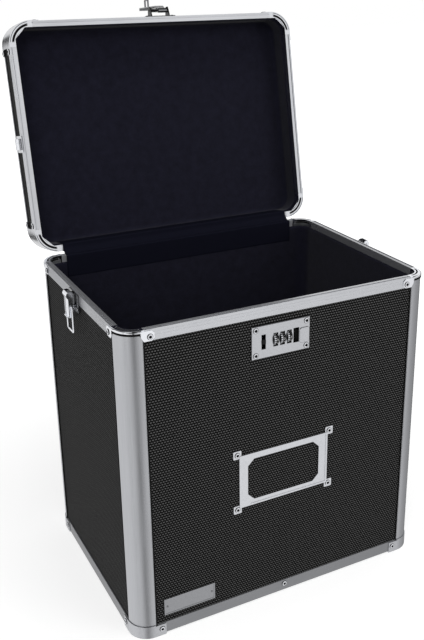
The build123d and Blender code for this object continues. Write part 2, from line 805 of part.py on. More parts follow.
def name_plate():
    """The bare plate with a raised border and its two pins."""
    cz = base_z + plate_z
    back = front_y + board_out
    x0, x1 = plate_x - plate_width / 2, plate_x + plate_width / 2
    z0, z1 = cz - plate_height / 2, cz + plate_height / 2
    face, field, rim = back - plate_thick, back - plate_thick + plate_field_depth, plate_border
    plate = block(x0, x1, back, face, z0, z1) - block(x0 + rim, x1 - rim, field, face, z0 + rim, z1 - rim)
    for i in (-1, 1):
        pin = (plate_x + i * plate_pin_spacing / 2, field, cz)
        plate = plate + rivet(pin, (0, -1, 0), plate_pin_radius, plate_pin_head, plate_pin_shank)
    return plate


tab_face = front_y + board_out - pressed_thick
holder_points = [
    (holder_x + i * tab_spacing_x / 2, tab_face, base_z + holder_z + k * tab_spacing_z / 2)
    for i in (-1, 1) for k in (-1, 1)
]
keep("label_holder", label_holder())
keep("name_plate", name_plate())


# ---- side latches, made for the right side ----
def out_box(o0, o1, y0, y1, drop0, drop1):
    """A box on the right side: outwards, along Y from the latch's middle, down from the mating plane."""
    return block(latch_face + o0, latch_face + o1, latch_y + y0, latch_y + y1, rim_z - drop0, rim_z - drop1)


pivot_point = (latch_face + lever_pivot_out, latch_y, rim_z - lever_pivot_drop)
bail_point = (latch_face + bail_out, latch_y, rim_z - bail_drop)


def latch_base():
    """The riveted plate with two ears for the lever's pivot, let down behind the rim."""
    half = latch_width / 2
    plate = out_box(0, latch_plate_thick, -half, half, latch_high, latch_low)
    plate = fillet(plate.edges().filter_by(Axis.X), latch_corner)
    inset = latch_corner / 2
    side, under = half - inset, rim_height + running_gap
    plate = plate + out_box(-board_out, 0, -side, side, under, latch_low - inset)
    inner = lever_half - lever_wall_thick - running_gap
    x, _, z = pivot_point
    for side in (-1, 1):
        start = latch_y + (inner - latch_ear_thick if side > 0 else -inner)
        r, foot = latch_ear_radius, latch_face + latch_plate_thick
        rise = r / 2
        outline = polygon([(foot, z + rise), (x, z + r), (x + rise, z + r), (x + r, z + rise),
                           (x + r, z - rise), (x, z - latch_ear_low / 2), (foot, z - latch_ear_low)])
        plate = plate + Pos(0, start + latch_ear_thick, 0) * extrude(Plane.XZ * outline, latch_ear_thick)
    hole = rod((x, latch_y - lever_half, z), (0, 1, 0), 2 * lever_half, pivot_radius)
    for y, drop in latch_rivet_spots:
        spot = (latch_face + latch_plate_thick, latch_y + y, rim_z - drop)
        plate = plate - rod(spot, (-1, 0, 0), pressed_thick, latch_shank_radius)
    return plate - hole


def latch_lever():
    """A channel lever, open at the top, with round inner corners at its pivot and a lifted finger end."""
    half, web = lever_half, lever_out - lever_web_thick
    body = out_box(lever_in, lever_out, -half, half, -lever_rise, lever_low)
    body = fillet(body.edges().filter_by(Axis.Z).sort_by(Axis.X)[-2:], lever_corner)
    x, _, z = pivot_point
    body = body - out_box(lever_in, lever_pivot_out, -half, half, -lever_rise, lever_pivot_drop)
    body = body + rod((x, latch_y - half, z), (0, 1, 0), 2 * half, lever_pivot_out - lever_in)
    body = body - out_box(0, web, -half + lever_wall_thick, half - lever_wall_thick, -lever_rise, lever_low)
    side = lever_dish_inset
    dish = out_box(lever_out - lever_dish_depth, lever_out, -half + side, half - side,
                   side, lever_low - side)
    body = body - dish
    lip = out_box(web, lever_out + lever_lip, -half + lever_wall_thick, half - lever_wall_thick,
                  lever_low - lever_lip_height, lever_low)
    body = body + lip
    hole = rod((x, latch_y - half, z), (0, 1, 0), 2 * half, pivot_radius + pin_play)
    x, _, z = bail_point
    eye = rod((x, latch_y - half, z), (0, 1, 0), 2 * half, bail_wire_radius + pin_play)
    return body - hole - eye


def latch_bail():
    """One bent wire: two stubs in the lever's eyes, two legs and the cross bar."""
    x, y, z = bail_point
    stub = lever_half - lever_wall_thick
    route = [(x, y - stub, z), (x, y - bail_half, z), (x, y - bail_half, z - bail_length),
             (x, y + bail_half, z - bail_length), (x, y + bail_half, z), (x, y + stub, z)]
    path = FilletPolyline(*route, radius=bail_bend)
    start = Plane(origin=route[0], z_dir=(0, -1, 0))
    return sweep(start * Circle(bail_wire_radius), path=path)


def latch_keeper():
    """The hook plate on the lid's side, with a lip that holds the bail's cross bar."""
    half = keeper_width / 2
    bar = bail_length * cos(radians(bail_lean)) - bail_drop
    lean_out = bail_out - bail_length * sin(radians(bail_lean))
    plate = out_box(0, keeper_plate_thick, -half, half, -keeper_low, -keeper_high)
    plate = fillet(plate.edges().filter_by(Axis.X), keeper_corner)
    side, over = half - keeper_corner / 2, rim_height + running_gap
    plate = plate + out_box(-board_out, 0, -side, side, -over, -keeper_high + keeper_corner / 2)
    lip_in = lean_out + bail_wire_radius + running_gap
    lip_out = lip_in + hook_thick
    shelf = bar - bail_wire_radius - running_gap
    wide, under = hook_width / 2, hook_thick - shelf
    hook = out_box(keeper_plate_thick, lip_out, -wide, wide, -shelf, under)
    lip = out_box(lip_in, lip_out, -wide, wide, under, -shelf - hook_lip)
    plate = plate + hook + lip
    for y, drop in keeper_rivet_spots:
        spot = (latch_face + keeper_plate_thick, latch_y + y, rim_z - drop)
        plate = plate - rod(spot, (-1, 0, 0), pressed_thick, latch_shank_radius)
    return plate


latch_rivet_spots = [(-latch_rivet_half, latch_rivet_drop), (latch_rivet_half, latch_rivet_drop)]
keeper_rivet_spots = [(0, -keeper_rivet_rise)]
right_base, right_lever, right_bail = latch_base(), latch_lever(), latch_bail()
right_keeper = latch_keeper()
pin_half = lever_half + pin_end
right_pin = rod((pivot_point[0], latch_y - pin_half, pivot_point[2]), (0, 1, 0), 2 * pin_half, pivot_radius)
keep("latch_plate_right", right_base)
keep("latch_plate_left", mirrored(right_base))
keep("latch_pin_right", right_pin)
keep("latch_pin_left", mirrored(right_pin))
keep("latch_lever_right", right_lever)
keep("latch_lever_left", mirrored(right_lever))
keep("latch_bail_right", right_bail)
keep("latch_bail_left", mirrored(right_bail))
keep("latch_keeper_right", opened(right_keeper))
keep("latch_keeper_left", opened(mirrored(right_keeper)))


# ---- lid ----
def lid_rim(side):
    """A straight rim of the lid between two corners, with its tongue downwards."""
    rear = side == "rear"
    points = rim_points(-1, False, not rear, rear_rim_relief if rear else 0)
    bar = along_x(points, SIDES[side][3] - 2 * lid_corner_reach)
    return on_side(Pos(0, 0, rim_z) * bar, side)


def lid_edge(side):
    """A rounded edge rail that joins the lid's top board to its side boards."""
    r, low = lid_edge_radius, lid_depth - lid_edge_height
    top, step = lid_depth, lid_depth - r
    face = make_face([
        Line((0, low), (0, step)),
        CenterArc((r, step), r, 180, -90),
        Line((r, top), (lid_edge_flange, top)),
        Line((lid_edge_flange, top), (lid_edge_flange, top - metal_thick)),
        Line((lid_edge_flange, top - metal_thick), (board_in, top - metal_thick)),
        Line((board_in, top - metal_thick), (board_in, step)),
        Line((board_in, step), (metal_thick, step)),
        Line((metal_thick, step), (metal_thick, low)),
        Line((metal_thick, low), (0, low)),
    ])
    length = SIDES[side][3] - 2 * lid_corner_reach
    bar = Pos(-length / 2, 0, rim_z) * extrude(Plane.YZ * face, length, dir=(1, 0, 0))
    return on_side(bar, side)


def lid_board(side):
    """A side board of the lid, from its rim's channel to its edge rail."""
    length = SIDES[side][3] - 2 * (lid_corner_radius - board_lap)
    high = rim_z + lid_depth - lid_edge_radius
    return on_side(block(-length / 2, length / 2, board_out, board_in, rim_z + rim_web, high), side)


def lid_envelope(grow, length):
    """The lid's outer form at a corner: round in plan and over the top edge."""
    r = lid_corner_radius + grow
    low = -grow
    solid = block(low, length, low, length, 0, lid_depth + grow)
    upright_edge = solid.edges().filter_by(Axis.Z).sort_by(lambda e: e.center().X + e.center().Y)[0]
    solid = fillet(upright_edge, r)
    top = solid.faces().sort_by(Axis.Z)[-1]
    rounded = [e for e in top.edges() if e.center().X < length - 1 and e.center().Y < length - 1]
    return fillet(rounded, lid_edge_radius + grow)


def lid_corner():
    """A pressed lid corner: a domed shell with ears over the rails and a slotted face at the rim."""
    reach, ears = lid_corner_reach, lid_ear_reach
    skin = lid_envelope(pressed_thick, ears) - lid_envelope(0, ears + 1)
    strip_top = lid_depth - lid_edge_height - lid_strip_drop
    strip = block(reach, ears, -pressed_thick, 0, rim_height + pressed_thick, strip_top)
    skin = skin - strip - mirror(strip, about=corner_mirror)
    shell = lid_envelope(0, reach) - lid_envelope(-metal_thick, reach + 1)
    cut = lid_chamfer_length
    inner = rim_width
    face = make_face([
        Line((reach, 0), (lid_corner_radius, 0)),
        CenterArc((lid_corner_radius, lid_corner_radius), lid_corner_radius, 270, -90),
        Line((0, lid_corner_radius), (0, reach)),
        Line((0, reach), (inner, reach)),
        Line((inner, reach), (inner, cut - inner)),
        Line((inner, cut - inner), (cut - inner, inner)),
        Line((cut - inner, inner), (reach, inner)),
        Line((reach, inner), (reach, 0)),
    ])
    flange = upright(face, 0, rim_inner_height)
    made = skin + shell + flange
    seat = block(lid_corner_radius - board_lap, reach, board_out - board_play, board_in + board_play,
                 rim_web, rim_inner_height)
    made = made - seat - mirror(seat, about=corner_mirror)
    for inset in (crescent_inset_outer, crescent_inset_inner):
        outer = lid_corner_radius - inset
        slot = ring_sector(lid_corner_radius, outer - crescent_width, outer, crescent_start, crescent_sweep)
        made = made - upright(slot, 0, crescent_depth)
    return Pos(0, 0, rim_z) * made


def lid_lining():
    """The felt tray inside the lid: four walls and the face over the top board."""
    low, high = rim_z + rim_inner_height, rim_z + lid_depth - metal_thick - board_thick
    outer = rounded_box(board_in, lid_corner_radius - board_in, low, high)
    wall = rim_width + lining_thick
    inner = rounded_box(wall, lid_corner_radius - wall, low, high - lid_felt_thick)
    return outer - inner


keep("lid_rims", [opened(lid_rim(side)) for side in SIDES])
keep("lid_edge_rails", [opened(lid_edge(side)) for side in SIDES])
keep("lid_side_boards", [opened(lid_board(side)) for side in SIDES])
lid_board_top = rim_z + lid_depth - metal_thick
top_board = rounded_box(board_in, lid_corner_radius - board_in, lid_board_top - board_thick, lid_board_top)
keep("lid_panel", opened(top_board))
keep("lid_lining", opened(lid_lining()))
lid_rivet_along = lid_ear_reach - lid_rivet_inset
lid_rivet_points = cap_rivet_points(CORNERS, rim_z + lid_rivet_rise, lid_rivet_along)
lid_rivet_points += cap_rivet_points(CORNERS, rim_z + lid_depth - lid_rivet_drop, lid_rivet_along)
lid_corners = [at_corner(lid_corner(), name) for name in CORNERS]
for point, outward in lid_rivet_points:
    lid_corners = [c - holes([point], outward)[0] for c in lid_corners]
keep("lid_corners", [opened(c) for c in lid_corners])


# ---- stop hinges ----
def hinge_x(side):
    return side * hinge_spacing / 2


def hinge_leaf_on_case(x):
    """The body's leaf: plate, two knuckles and an arm on each that the open lid's leaf rests on."""
    half = hinge_width / 2
    y0, y1 = half_d, half_d + hinge_leaf_thick
    plate = block(x - half, x + half, y0, y1, rim_z - hinge_leaf_height, rim_z)
    plate = plate + block(x - half, x + half, y0 - board_out, y0, rim_z - hinge_leaf_height,
                          rim_z - rim_height - running_gap)
    inner = half - hinge_knuckle
    plate = plate - block(x - inner, x + inner, y0, y1, rim_z - hinge_barrel_radius - hinge_play, rim_z)
    for side in (-1, 1):
        start = min(x + side * half, x + side * inner)
        plate = plate + rod((start, hinge_y, rim_z), (1, 0, 0), hinge_knuckle, hinge_barrel_radius)
        arm = block(start, start + hinge_knuckle, half_d + hinge_leaf_thick + stop_arm_gap,
                    hinge_y + stop_arm_root, rim_z + stop_arm_root, rim_z + stop_arm_length)
        plate = plate + opened(arm)
    bore = rod((x - half, hinge_y, rim_z), (1, 0, 0), hinge_width, hinge_pin_radius)
    return plate - bore


def hinge_leaf_on_lid(x):
    """The lid's leaf: plate and one knuckle between the body's two."""
    half = hinge_width / 2
    y0, y1 = half_d, half_d + hinge_leaf_thick
    top = rim_z + hinge_leaf_height
    plate = block(x - half, x + half, y0, y1, rim_z, top)
    plate = plate + block(x - half, x + half, y0 - board_out, y0, rim_z + rim_height + running_gap, top)
    inner = half - hinge_knuckle
    for side in (-1, 1):
        start = min(x + side * half, x + side * inner) - hinge_play
        plate = plate - block(start, start + hinge_knuckle + 2 * hinge_play, y0, y1,
                              rim_z, rim_z + hinge_barrel_radius + hinge_play)
    width = 2 * inner - 2 * hinge_play
    knuckle = rod((x - width / 2, hinge_y, rim_z), (1, 0, 0), width, hinge_barrel_radius)
    bore = rod((x - half, hinge_y, rim_z), (1, 0, 0), hinge_width, hinge_pin_radius + pin_play)
    return opened(plate + knuckle - bore)


for side, name in ((-1, "left"), (1, "right")):
    x = hinge_x(side)
    keep("hinge_leaf_case_" + name, hinge_leaf_on_case(x))
    keep("hinge_leaf_lid_" + name, hinge_leaf_on_lid(x))
    keep("hinge_pin_" + name, rod((x - hinge_width / 2 - pin_end, hinge_y, rim_z), (1, 0, 0),
                                  hinge_width + 2 * pin_end, hinge_pin_radius))


def swung(y, z):
    """A point of the shut lid, in the YZ plane, where the open lid has it."""
    a = radians(-open_angle)
    dy, dz = y - hinge_y, z - rim_z
    return (hinge_y + dy * cos(a) - dz * sin(a), rim_z + dy * sin(a) + dz * cos(a))


def ribbon(points, thick):
    """The outline of a strip that lies to the left of a line of points."""
    normals = []
    for (y0, z0), (y1, z1) in zip(points, points[1:]):
        run = hypot(y1 - y0, z1 - z0)
        normals.append((-(z1 - z0) / run, (y1 - y0) / run))
    far = []
    for n, (y, z) in enumerate(points):
        a = normals[max(n - 1, 0)]
        b = normals[min(n, len(normals) - 1)]
        lean = 1 + a[0] * b[0] + a[1] * b[1]
        far.append((y + thick * (a[0] + b[0]) / lean, z + thick * (a[1] + b[1]) / lean))
    return points + far[::-1]


def hinge_flap():
    """The fabric strip that covers the hinge gap inside: down the rear lining, over both rear rims."""
    inside = half_d - lining_in - flap_gap
    rim_top = rim_z - rear_rim_relief + flap_gap
    lid_face = rim_z + rear_rim_relief - flap_gap
    line = [(inside, rim_z - flap_drop), (inside, rim_top), (half_d - flap_edge, rim_top)]
    line += [swung(half_d - flap_edge - flap_slack, lid_face), swung(inside, lid_face)]
    line += [swung(inside, rim_z + flap_drop)]
    return Pos(-flap_width / 2, 0, 0) * extrude(Plane.YZ * polygon(ribbon(line, flap_thick)), flap_width,
                                                dir=(1, 0, 0))


keep("hinge_flap", hinge_flap())


# ---- hasp ----
def hasp_box(x0, x1, w0, w1, v0, v1):
    """A box at the hasp of the shut lid: x, outwards from the front face and up from the mating plane."""
    return block(x0, x1, front_y - w0, front_y - w1, rim_z + v0, rim_z + v1)


arm_left, arm_right = staple_x - arm_width / 2, staple_x + arm_width / 2
hasp_right = arm_right + running_gap + hasp_ear_thick
hasp_left = hasp_right - hasp_width
hasp_base_x = (hasp_left + hasp_right) / 2
base_left = hasp_base_x - hasp_base_width / 2
base_right = hasp_base_x + hasp_base_width / 2
spring_left = hasp_left + hasp_ear_thick + running_gap + spring_wire_radius


def hasp_base():
    """The hasp's plate on the lid, with two tapered ears that carry the pin."""
    plate = hasp_box(base_left, base_right, 0, hasp_base_thick, hasp_base_low, hasp_base_high)
    plate = fillet(plate.edges().filter_by(Axis.Y), hasp_base_corner)
    plate = plate + hasp_box(base_left + hasp_base_corner, base_right - hasp_base_corner, -board_out, 0,
                             rim_height + running_gap, hasp_base_high)
    foot, top = front_y - hasp_base_thick, hasp_y - hasp_ear_crown
    crown, half = hasp_ear_crown / 2, hasp_ear_half
    outline = polygon([(foot, hasp_z - half), (hasp_y, hasp_z - 2 * crown), (top, hasp_z - crown),
                       (top, hasp_z + crown), (hasp_y, hasp_z + 2 * crown), (foot, hasp_z + half)])
    for start in (hasp_left, hasp_right - hasp_ear_thick):
        plate = plate + Pos(start, 0, 0) * extrude(Plane.YZ * outline, hasp_ear_thick, dir=(1, 0, 0))
    bore = rod((hasp_left, hasp_y, hasp_z), (1, 0, 0), hasp_width, hasp_pin_radius)
    plate = plate - bore
    for point in hasp_rivet_points:
        plate = plate - rod(point, (0, 1, 0), hasp_base_thick, shank_radius)
    return plate


def hasp_arm():
    """The hasp's arm: knuckle, bent neck, flat arm, lifted tip and the staple on its back."""
    tip = -lock_drop - arm_tip_below
    knuckle = rod((arm_left, hasp_y, hasp_z), (1, 0, 0), arm_width, hasp_barrel_radius)
    back = front_y - arm_inner
    bend, top = hasp_z - arm_bend_drop, hasp_z - hasp_barrel_radius / 2
    line = [(back, rim_z + tip), (back, bend), (hasp_y + hasp_barrel_radius / 2, top)]
    profile = Plane.YZ * polygon(ribbon(line, arm_thick))
    arm = Pos(arm_left, 0, 0) * extrude(profile, arm_width, dir=(1, 0, 0))
    lift = hasp_box(arm_left, arm_right, arm_inner, arm_inner + arm_tip_lift, tip, tip + arm_tip_thick)
    centre = lock_cy - rim_z
    x0, x1 = staple_x - staple_thick / 2, staple_x + staple_thick / 2
    low, high = centre - staple_length / 2, centre + staple_length / 2
    loop = hasp_box(x0, x1, arm_inner - staple_height, arm_inner, low, high)
    loop = fillet(loop.edges().filter_by(Axis.X).sort_by(Axis.Y)[-2:], staple_wire_thick)
    gap = hasp_box(x0, x1, arm_inner - staple_height + staple_wire_thick, arm_inner, low + staple_wire_thick,
                   high - staple_wire_thick)
    made = knuckle + arm + lift + (loop - gap)
    return made - rod((arm_left, hasp_y, hasp_z), (1, 0, 0), arm_width, hasp_pin_radius + pin_play)


def hasp_spring():
    """The torsion spring round the pin, as one open coil."""
    radius = hasp_pin_radius + spring_wire_radius + running_gap
    coil = Helix(spring_pitch, spring_pitch * spring_turns, radius)
    profile = Plane(origin=coil @ 0, z_dir=coil % 0) * Circle(spring_wire_radius)
    wire = sweep(profile, path=coil, is_frenet=True)
    return Plane(origin=(spring_left, hasp_y, hasp_z), z_dir=(1, 0, 0)) * wire


hasp_rivet_points = [(x, front_y - hasp_base_thick, rim_z + v)
                     for x in (base_left + hasp_rivet_inset, base_right - hasp_rivet_inset)
                     for v in (hasp_rivet_low, hasp_rivet_high)]
keep("hasp_base", opened(hasp_base()))
keep("hasp_pin", opened(rod((hasp_left - pin_end, hasp_y, hasp_z), (1, 0, 0), hasp_width + 2 * pin_end,
                            hasp_pin_radius)))
keep("hasp_arm", flipped(hasp_arm()))
keep("hasp_spring", opened(hasp_spring()))


# ---- rivets ----
case_rivets = [rivet(p, n) for p, n in ear_rivets + foot_rivets + rail_rivets]
case_rivets += [rivet(p, (0, -1, 0)) for p in holder_points]
for y, drop in latch_rivet_spots:
    for side in (-1, 1):
        spot = (side * (latch_face + latch_plate_thick), latch_y + y, rim_z - drop)
        case_rivets.append(rivet(spot, (side, 0, 0), latch_rivet_radius, shank=latch_shank_radius))
keep("case_rivets", case_rivets)
lid_rivets = [opened(rivet(p, n)) for p, n in lid_rivet_points]
lid_rivets += [opened(rivet(p, (0, -1, 0), latch_rivet_radius)) for p in hasp_rivet_points]
for y, drop in keeper_rivet_spots:
    for side in (-1, 1):
        spot = (side * (latch_face + keeper_plate_thick), latch_y + y, rim_z - drop)
        lid_rivets.append(opened(rivet(spot, (side, 0, 0), latch_rivet_radius, shank=latch_shank_radius)))
keep("lid_rivets", lid_rivets)

os.makedirs("parts", exist_ok=True)
for name, solids in parts.items():
    shape = solids[0] if len(solids) == 1 else Compound(solids)
    export_step(shape, f"parts/{name}.step")
print(len(parts), "nodes", sum(len(s) for s in parts.values()), "solids")
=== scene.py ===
"""Record carrying case: the finish of every piece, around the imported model. Lengths are metres in the case's
frame; X runs along its front, Y from front to back."""
import json
import math

import bmesh
import bpy
import numpy as np
from mathutils import Matrix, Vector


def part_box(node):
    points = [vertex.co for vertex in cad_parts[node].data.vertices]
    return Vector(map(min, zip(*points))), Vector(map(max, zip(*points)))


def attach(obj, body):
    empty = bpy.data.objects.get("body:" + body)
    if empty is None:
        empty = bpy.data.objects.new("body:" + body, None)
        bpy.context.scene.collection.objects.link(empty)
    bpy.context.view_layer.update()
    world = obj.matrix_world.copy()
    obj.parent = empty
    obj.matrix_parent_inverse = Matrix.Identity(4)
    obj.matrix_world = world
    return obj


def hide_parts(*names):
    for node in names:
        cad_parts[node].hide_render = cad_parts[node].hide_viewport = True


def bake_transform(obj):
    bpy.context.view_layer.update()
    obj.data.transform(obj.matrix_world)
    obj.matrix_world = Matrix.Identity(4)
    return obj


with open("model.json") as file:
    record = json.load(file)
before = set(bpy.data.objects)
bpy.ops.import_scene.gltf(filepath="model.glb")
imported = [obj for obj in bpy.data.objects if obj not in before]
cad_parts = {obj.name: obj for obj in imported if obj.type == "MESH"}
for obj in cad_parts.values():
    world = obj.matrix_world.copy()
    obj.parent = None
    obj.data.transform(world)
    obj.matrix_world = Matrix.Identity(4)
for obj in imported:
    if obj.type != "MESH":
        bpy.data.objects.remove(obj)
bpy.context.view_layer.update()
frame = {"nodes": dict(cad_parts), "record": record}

MM = 0.001
OPEN_ANGLE = math.radians(100.9)       # the lid's lean from shut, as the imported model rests
HINGE = (0.1239, 0.3305)               # the hinge axis, across the case: y and z
CASE_HALF = (0.1675, 0.1215)
MATING = 0.3305                        # height of the plane in which the rims meet
BODY_RADIUS, LID_RADIUS = 0.020, 0.024

# ---- the photograph's camera, from the case's own edge lines ----
PHOTO_SIZE = (424, 640)
FOCAL_PIXELS = 921.09
PRINCIPAL_PIXEL = (265.58, 288.14)
CAMERA_PLACE = (-0.41124, -0.82016, 0.64421)
CAMERA_AZIMUTH = math.radians(-29.01)
CAMERA_ELEVATION = math.radians(20.33)
CAMERA_ROLL = math.radians(0.16)
SENSOR = 36.0


def place_camera():
    """The camera at the photograph's own station: its axes are columns worked out from the three angles."""
    a, e, r = CAMERA_AZIMUTH, CAMERA_ELEVATION, CAMERA_ROLL
    forward = np.array([-math.sin(a) * math.cos(e), math.cos(a) * math.cos(e), -math.sin(e)])
    level = np.array([math.cos(a), math.sin(a), 0.0])
    upright = np.cross(level, forward)
    right = level * math.cos(r) + upright * math.sin(r)
    up = upright * math.cos(r) - level * math.sin(r)
    data = bpy.data.cameras.new("photo_camera")
    camera = bpy.data.objects.new("photo_camera", data)
    bpy.context.collection.objects.link(camera)
    matrix = np.eye(4)
    matrix[:3, 0], matrix[:3, 1], matrix[:3, 2], matrix[:3, 3] = right, up, -forward, CAMERA_PLACE
    camera.matrix_world = Matrix(matrix.tolist())
    width, height = PHOTO_SIZE
    longest = max(PHOTO_SIZE)
    data.sensor_width = SENSOR
    data.lens = FOCAL_PIXELS / longest * SENSOR
    data.shift_x = (width / 2 - PRINCIPAL_PIXEL[0]) / longest
    data.shift_y = (PRINCIPAL_PIXEL[1] - height / 2) / longest
    data.clip_start, data.clip_end = 0.02, 20.0
    bpy.context.scene.camera = camera


# ---- finishes ----
class Finish:
    """A material's node tree, with one short method for each kind of node that the finishes are made of."""

    def __init__(self, name):
        self.material = bpy.data.materials.new(name)
        self.material.use_nodes = True
        self.tree = self.material.node_tree
        self.surface = self.tree.nodes["Principled BSDF"]

    def node(self, kind, settings=None, **inputs):
        made = self.tree.nodes.new(kind)
        for key, value in (settings or {}).items():
            setattr(made, key, value)
        for key, value in inputs.items():
            self.feed(made, key.replace("_", " "), value)
        return made

    def feed(self, node, socket, value):
        target = node.inputs[int(socket) if socket.isdigit() else socket]
        if isinstance(value, bpy.types.NodeSocket):
            self.tree.links.new(value, target)
        else:
            target.default_value = value

    def set(self, **inputs):
        for key, value in inputs.items():
            self.feed(self.surface, key.replace("_", " "), value)

    def sum(self, operation, a, b=0.0, clamp=False):
        made = self.node("ShaderNodeMath", {"operation": operation, "use_clamp": clamp})
        self.feed(made, "0", a)
        self.feed(made, "1", b)
        return made.outputs[0]

    def place(self, turn=(0, 0, 0), scale=(1, 1, 1)):
        """Object coordinates, turned and stretched."""
        source = self.node("ShaderNodeTexCoord").outputs["Object"]
        made = self.node("ShaderNodeMapping", Vector=source)
        made.inputs["Rotation"].default_value = turn
        made.inputs["Scale"].default_value = scale
        return made.outputs[0]

    def noise(self, place, scale, detail=2.0, roughness=0.5):
        made = self.node("ShaderNodeTexNoise", Vector=place, Scale=scale, Detail=detail, Roughness=roughness)
        return made.outputs[0]

    def blend(self, factor, first, second):
        made = self.node("ShaderNodeMix", {"data_type": "RGBA"})
        self.feed(made, "0", factor)
        self.feed(made, "6", first)
        self.feed(made, "7", second)
        return made.outputs[2]

    def span(self, value, low, high, to_low=0.0, to_high=1.0):
        made = self.node("ShaderNodeMapRange", Value=value, From_Min=low, From_Max=high,
                         To_Min=to_low, To_Max=to_high)
        return made.outputs[0]

    def handled(self, roughness):
        """Handling marks, and the roughness that rises by a tenth where they lie."""
        marks = self.noise(self.place(), 700.0, 4.0, 0.7)
        return marks, self.span(marks, 0.35, 0.75, roughness, roughness + 0.10)

    def attribute(self, name):
        return self.node("ShaderNodeAttribute", {"attribute_name": name}).outputs["Fac"]

    def relief(self, height, depth, strength=1.0):
        made = self.node("ShaderNodeBump", Height=height, Distance=depth, Strength=strength)
        self.feed(self.surface, "Normal", made.outputs[0])


def grey(level, tint=(1.0, 1.0, 1.0)):
    return tuple(level * t for t in tint) + (1.0,)


BOARD_PITCH = (2.9 * MM, 2.6 * MM)     # the embossed dashes of the laminate
DASH_REACH = (0.40, 0.30)              # half a dash, as shares of that pitch
LID_TURN = (OPEN_ANGLE, 0, 0)
# takes the hinge axis to nought once a place is turned back by the open angle
HINGE_SHIFT = (0.0, -(HINGE[0] * math.cos(OPEN_ANGLE) - HINGE[1] * math.sin(OPEN_ANGLE)),
               -(HINGE[0] * math.sin(OPEN_ANGLE) + HINGE[1] * math.cos(OPEN_ANGLE)))


def board_laminate(name, turn=(0, 0, 0)):
    """Black laminate embossed with rows of short staggered dashes; the dashes are painted lighter than the board as a
    painted highlight. The rows lie level on every board.
    """
    f = Finish(name)
    spots = f.node("ShaderNodeSeparateXYZ", Vector=f.place(turn))
    facing_source = f.node("ShaderNodeTexCoord").outputs["Normal"]
    turned = f.node("ShaderNodeMapping", {"vector_type": "NORMAL"}, Vector=facing_source)
    turned.inputs["Rotation"].default_value = tuple(-t for t in turn)
    facing = f.node("ShaderNodeSeparateXYZ", Vector=turned.outputs[0])
    sideways = f.sum("GREATER_THAN", f.sum("ABSOLUTE", facing.outputs[0]), 0.7)
    level = f.sum("GREATER_THAN", f.sum("ABSOLUTE", facing.outputs[2]), 0.7)
    along = f.node("ShaderNodeMix", {"data_type": "FLOAT"})
    f.feed(along, "0", sideways)
    f.feed(along, "2", spots.outputs[0])
    f.feed(along, "3", spots.outputs[1])
    rise = f.node("ShaderNodeMix", {"data_type": "FLOAT"})
    f.feed(rise, "0", level)
    f.feed(rise, "2", spots.outputs[2])
    f.feed(rise, "3", spots.outputs[1])
    row = f.sum("DIVIDE", rise.outputs[0], BOARD_PITCH[1])
    shift = f.sum("MULTIPLY", f.sum("FLOORED_MODULO", f.sum("FLOOR", row), 2.0), 0.5)
    column = f.sum("ADD", f.sum("DIVIDE", along.outputs[0], BOARD_PITCH[0]), shift)
    across = f.sum("DIVIDE", f.sum("SUBTRACT", f.sum("FRACT", column), 0.5), DASH_REACH[0])
    down = f.sum("DIVIDE", f.sum("SUBTRACT", f.sum("FRACT", row), 0.5), DASH_REACH[1])
    reach = f.sum("ADD", f.sum("POWER", across, 2.0), f.sum("POWER", down, 2.0))
    dash_and_highlight = f.span(reach, 1.0, 0.55)
    grain = f.noise(f.place(turn), 900.0, 3.0)
    height = f.sum("ADD", dash_and_highlight, f.sum("MULTIPLY", grain, 0.25))
    # the dashes' lighter colour is a painted highlight; their bump is real relief
    f.set(Base_Color=f.blend(dash_and_highlight, grey(0.006), grey(0.120)), Roughness=f.span(grain, 0.3, 0.7, 0.40, 0.55))
    f.set(Specular_IOR_Level=0.01)
    f.relief(height, 0.25 * MM, 0.8)
    return f.material


COOL = (0.97, 0.985, 1.03)             # tint of the anodised extrusions
NAVY = (0.95, 1.0, 1.9)
# painted shade: the colour of the shadowed gap beside a post's flange
SEAM_SHADE = grey(0.012)


def brushed_aluminium(name, turn=(0, 0, 0), along=2, level=0.62, roughness=0.30, shade_from=None, metal=1.0):
    """Satin anodised extrusion: fine lines along its length, faint clouding, a cool tint. Past shade_from, a distance
    from the case's corner beside a post's flange, the metal is painted dark and dull as painted shade in the gap."""
    f = Finish(name)
    stretch = [1.0, 1.0, 1.0]
    stretch[along] = 0.01
    lines = f.noise(f.place(turn, tuple(stretch)), 2600.0, 3.0, 0.6)
    cloud = f.noise(f.place(turn), 14.0, 2.0)
    tone = f.blend(f.span(lines, 0.3, 0.7), grey(level * 0.90, COOL), grey(level, COOL))
    rough = f.span(cloud, 0.3, 0.7, roughness - 0.04, roughness + 0.05)
    if shade_from:
        spots = f.node("ShaderNodeSeparateXYZ", Vector=f.place())
        inwards = [f.sum("SUBTRACT", half, f.sum("ABSOLUTE", spots.outputs[axis]))
                   for axis, half in enumerate((CASE_HALF[0], CASE_HALF[1]))]
        past = f.span(f.sum("MAXIMUM", inwards[0], inwards[1]), shade_from, shade_from + 0.15 * MM)
        # painted shade over the metal past the flange, standing for the shadow in the gap
        tone = f.blend(past, tone, SEAM_SHADE)
        metal = f.sum("SUBTRACT", 1.0, past)
    f.set(Base_Color=tone, Metallic=metal, Roughness=rough)
    f.set(Specular_IOR_Level=0.0)
    f.relief(lines, 0.02 * MM, 0.5)
    return f.material


def chrome_plate(name, level=0.80, roughness=0.10):
    """Bright plated steel pressing with faint ripples and handling marks."""
    f = Finish(name)
    ripple = f.noise(f.place(), 90.0, 2.0)
    marks, rough = f.handled(roughness)
    f.set(Base_Color=f.blend(f.span(marks, 0.35, 0.75), grey(level, COOL), grey(level * 0.9, COOL)), Metallic=1.0,
          Roughness=rough)
    f.relief(ripple, 0.15 * MM, 0.35)
    return f.material
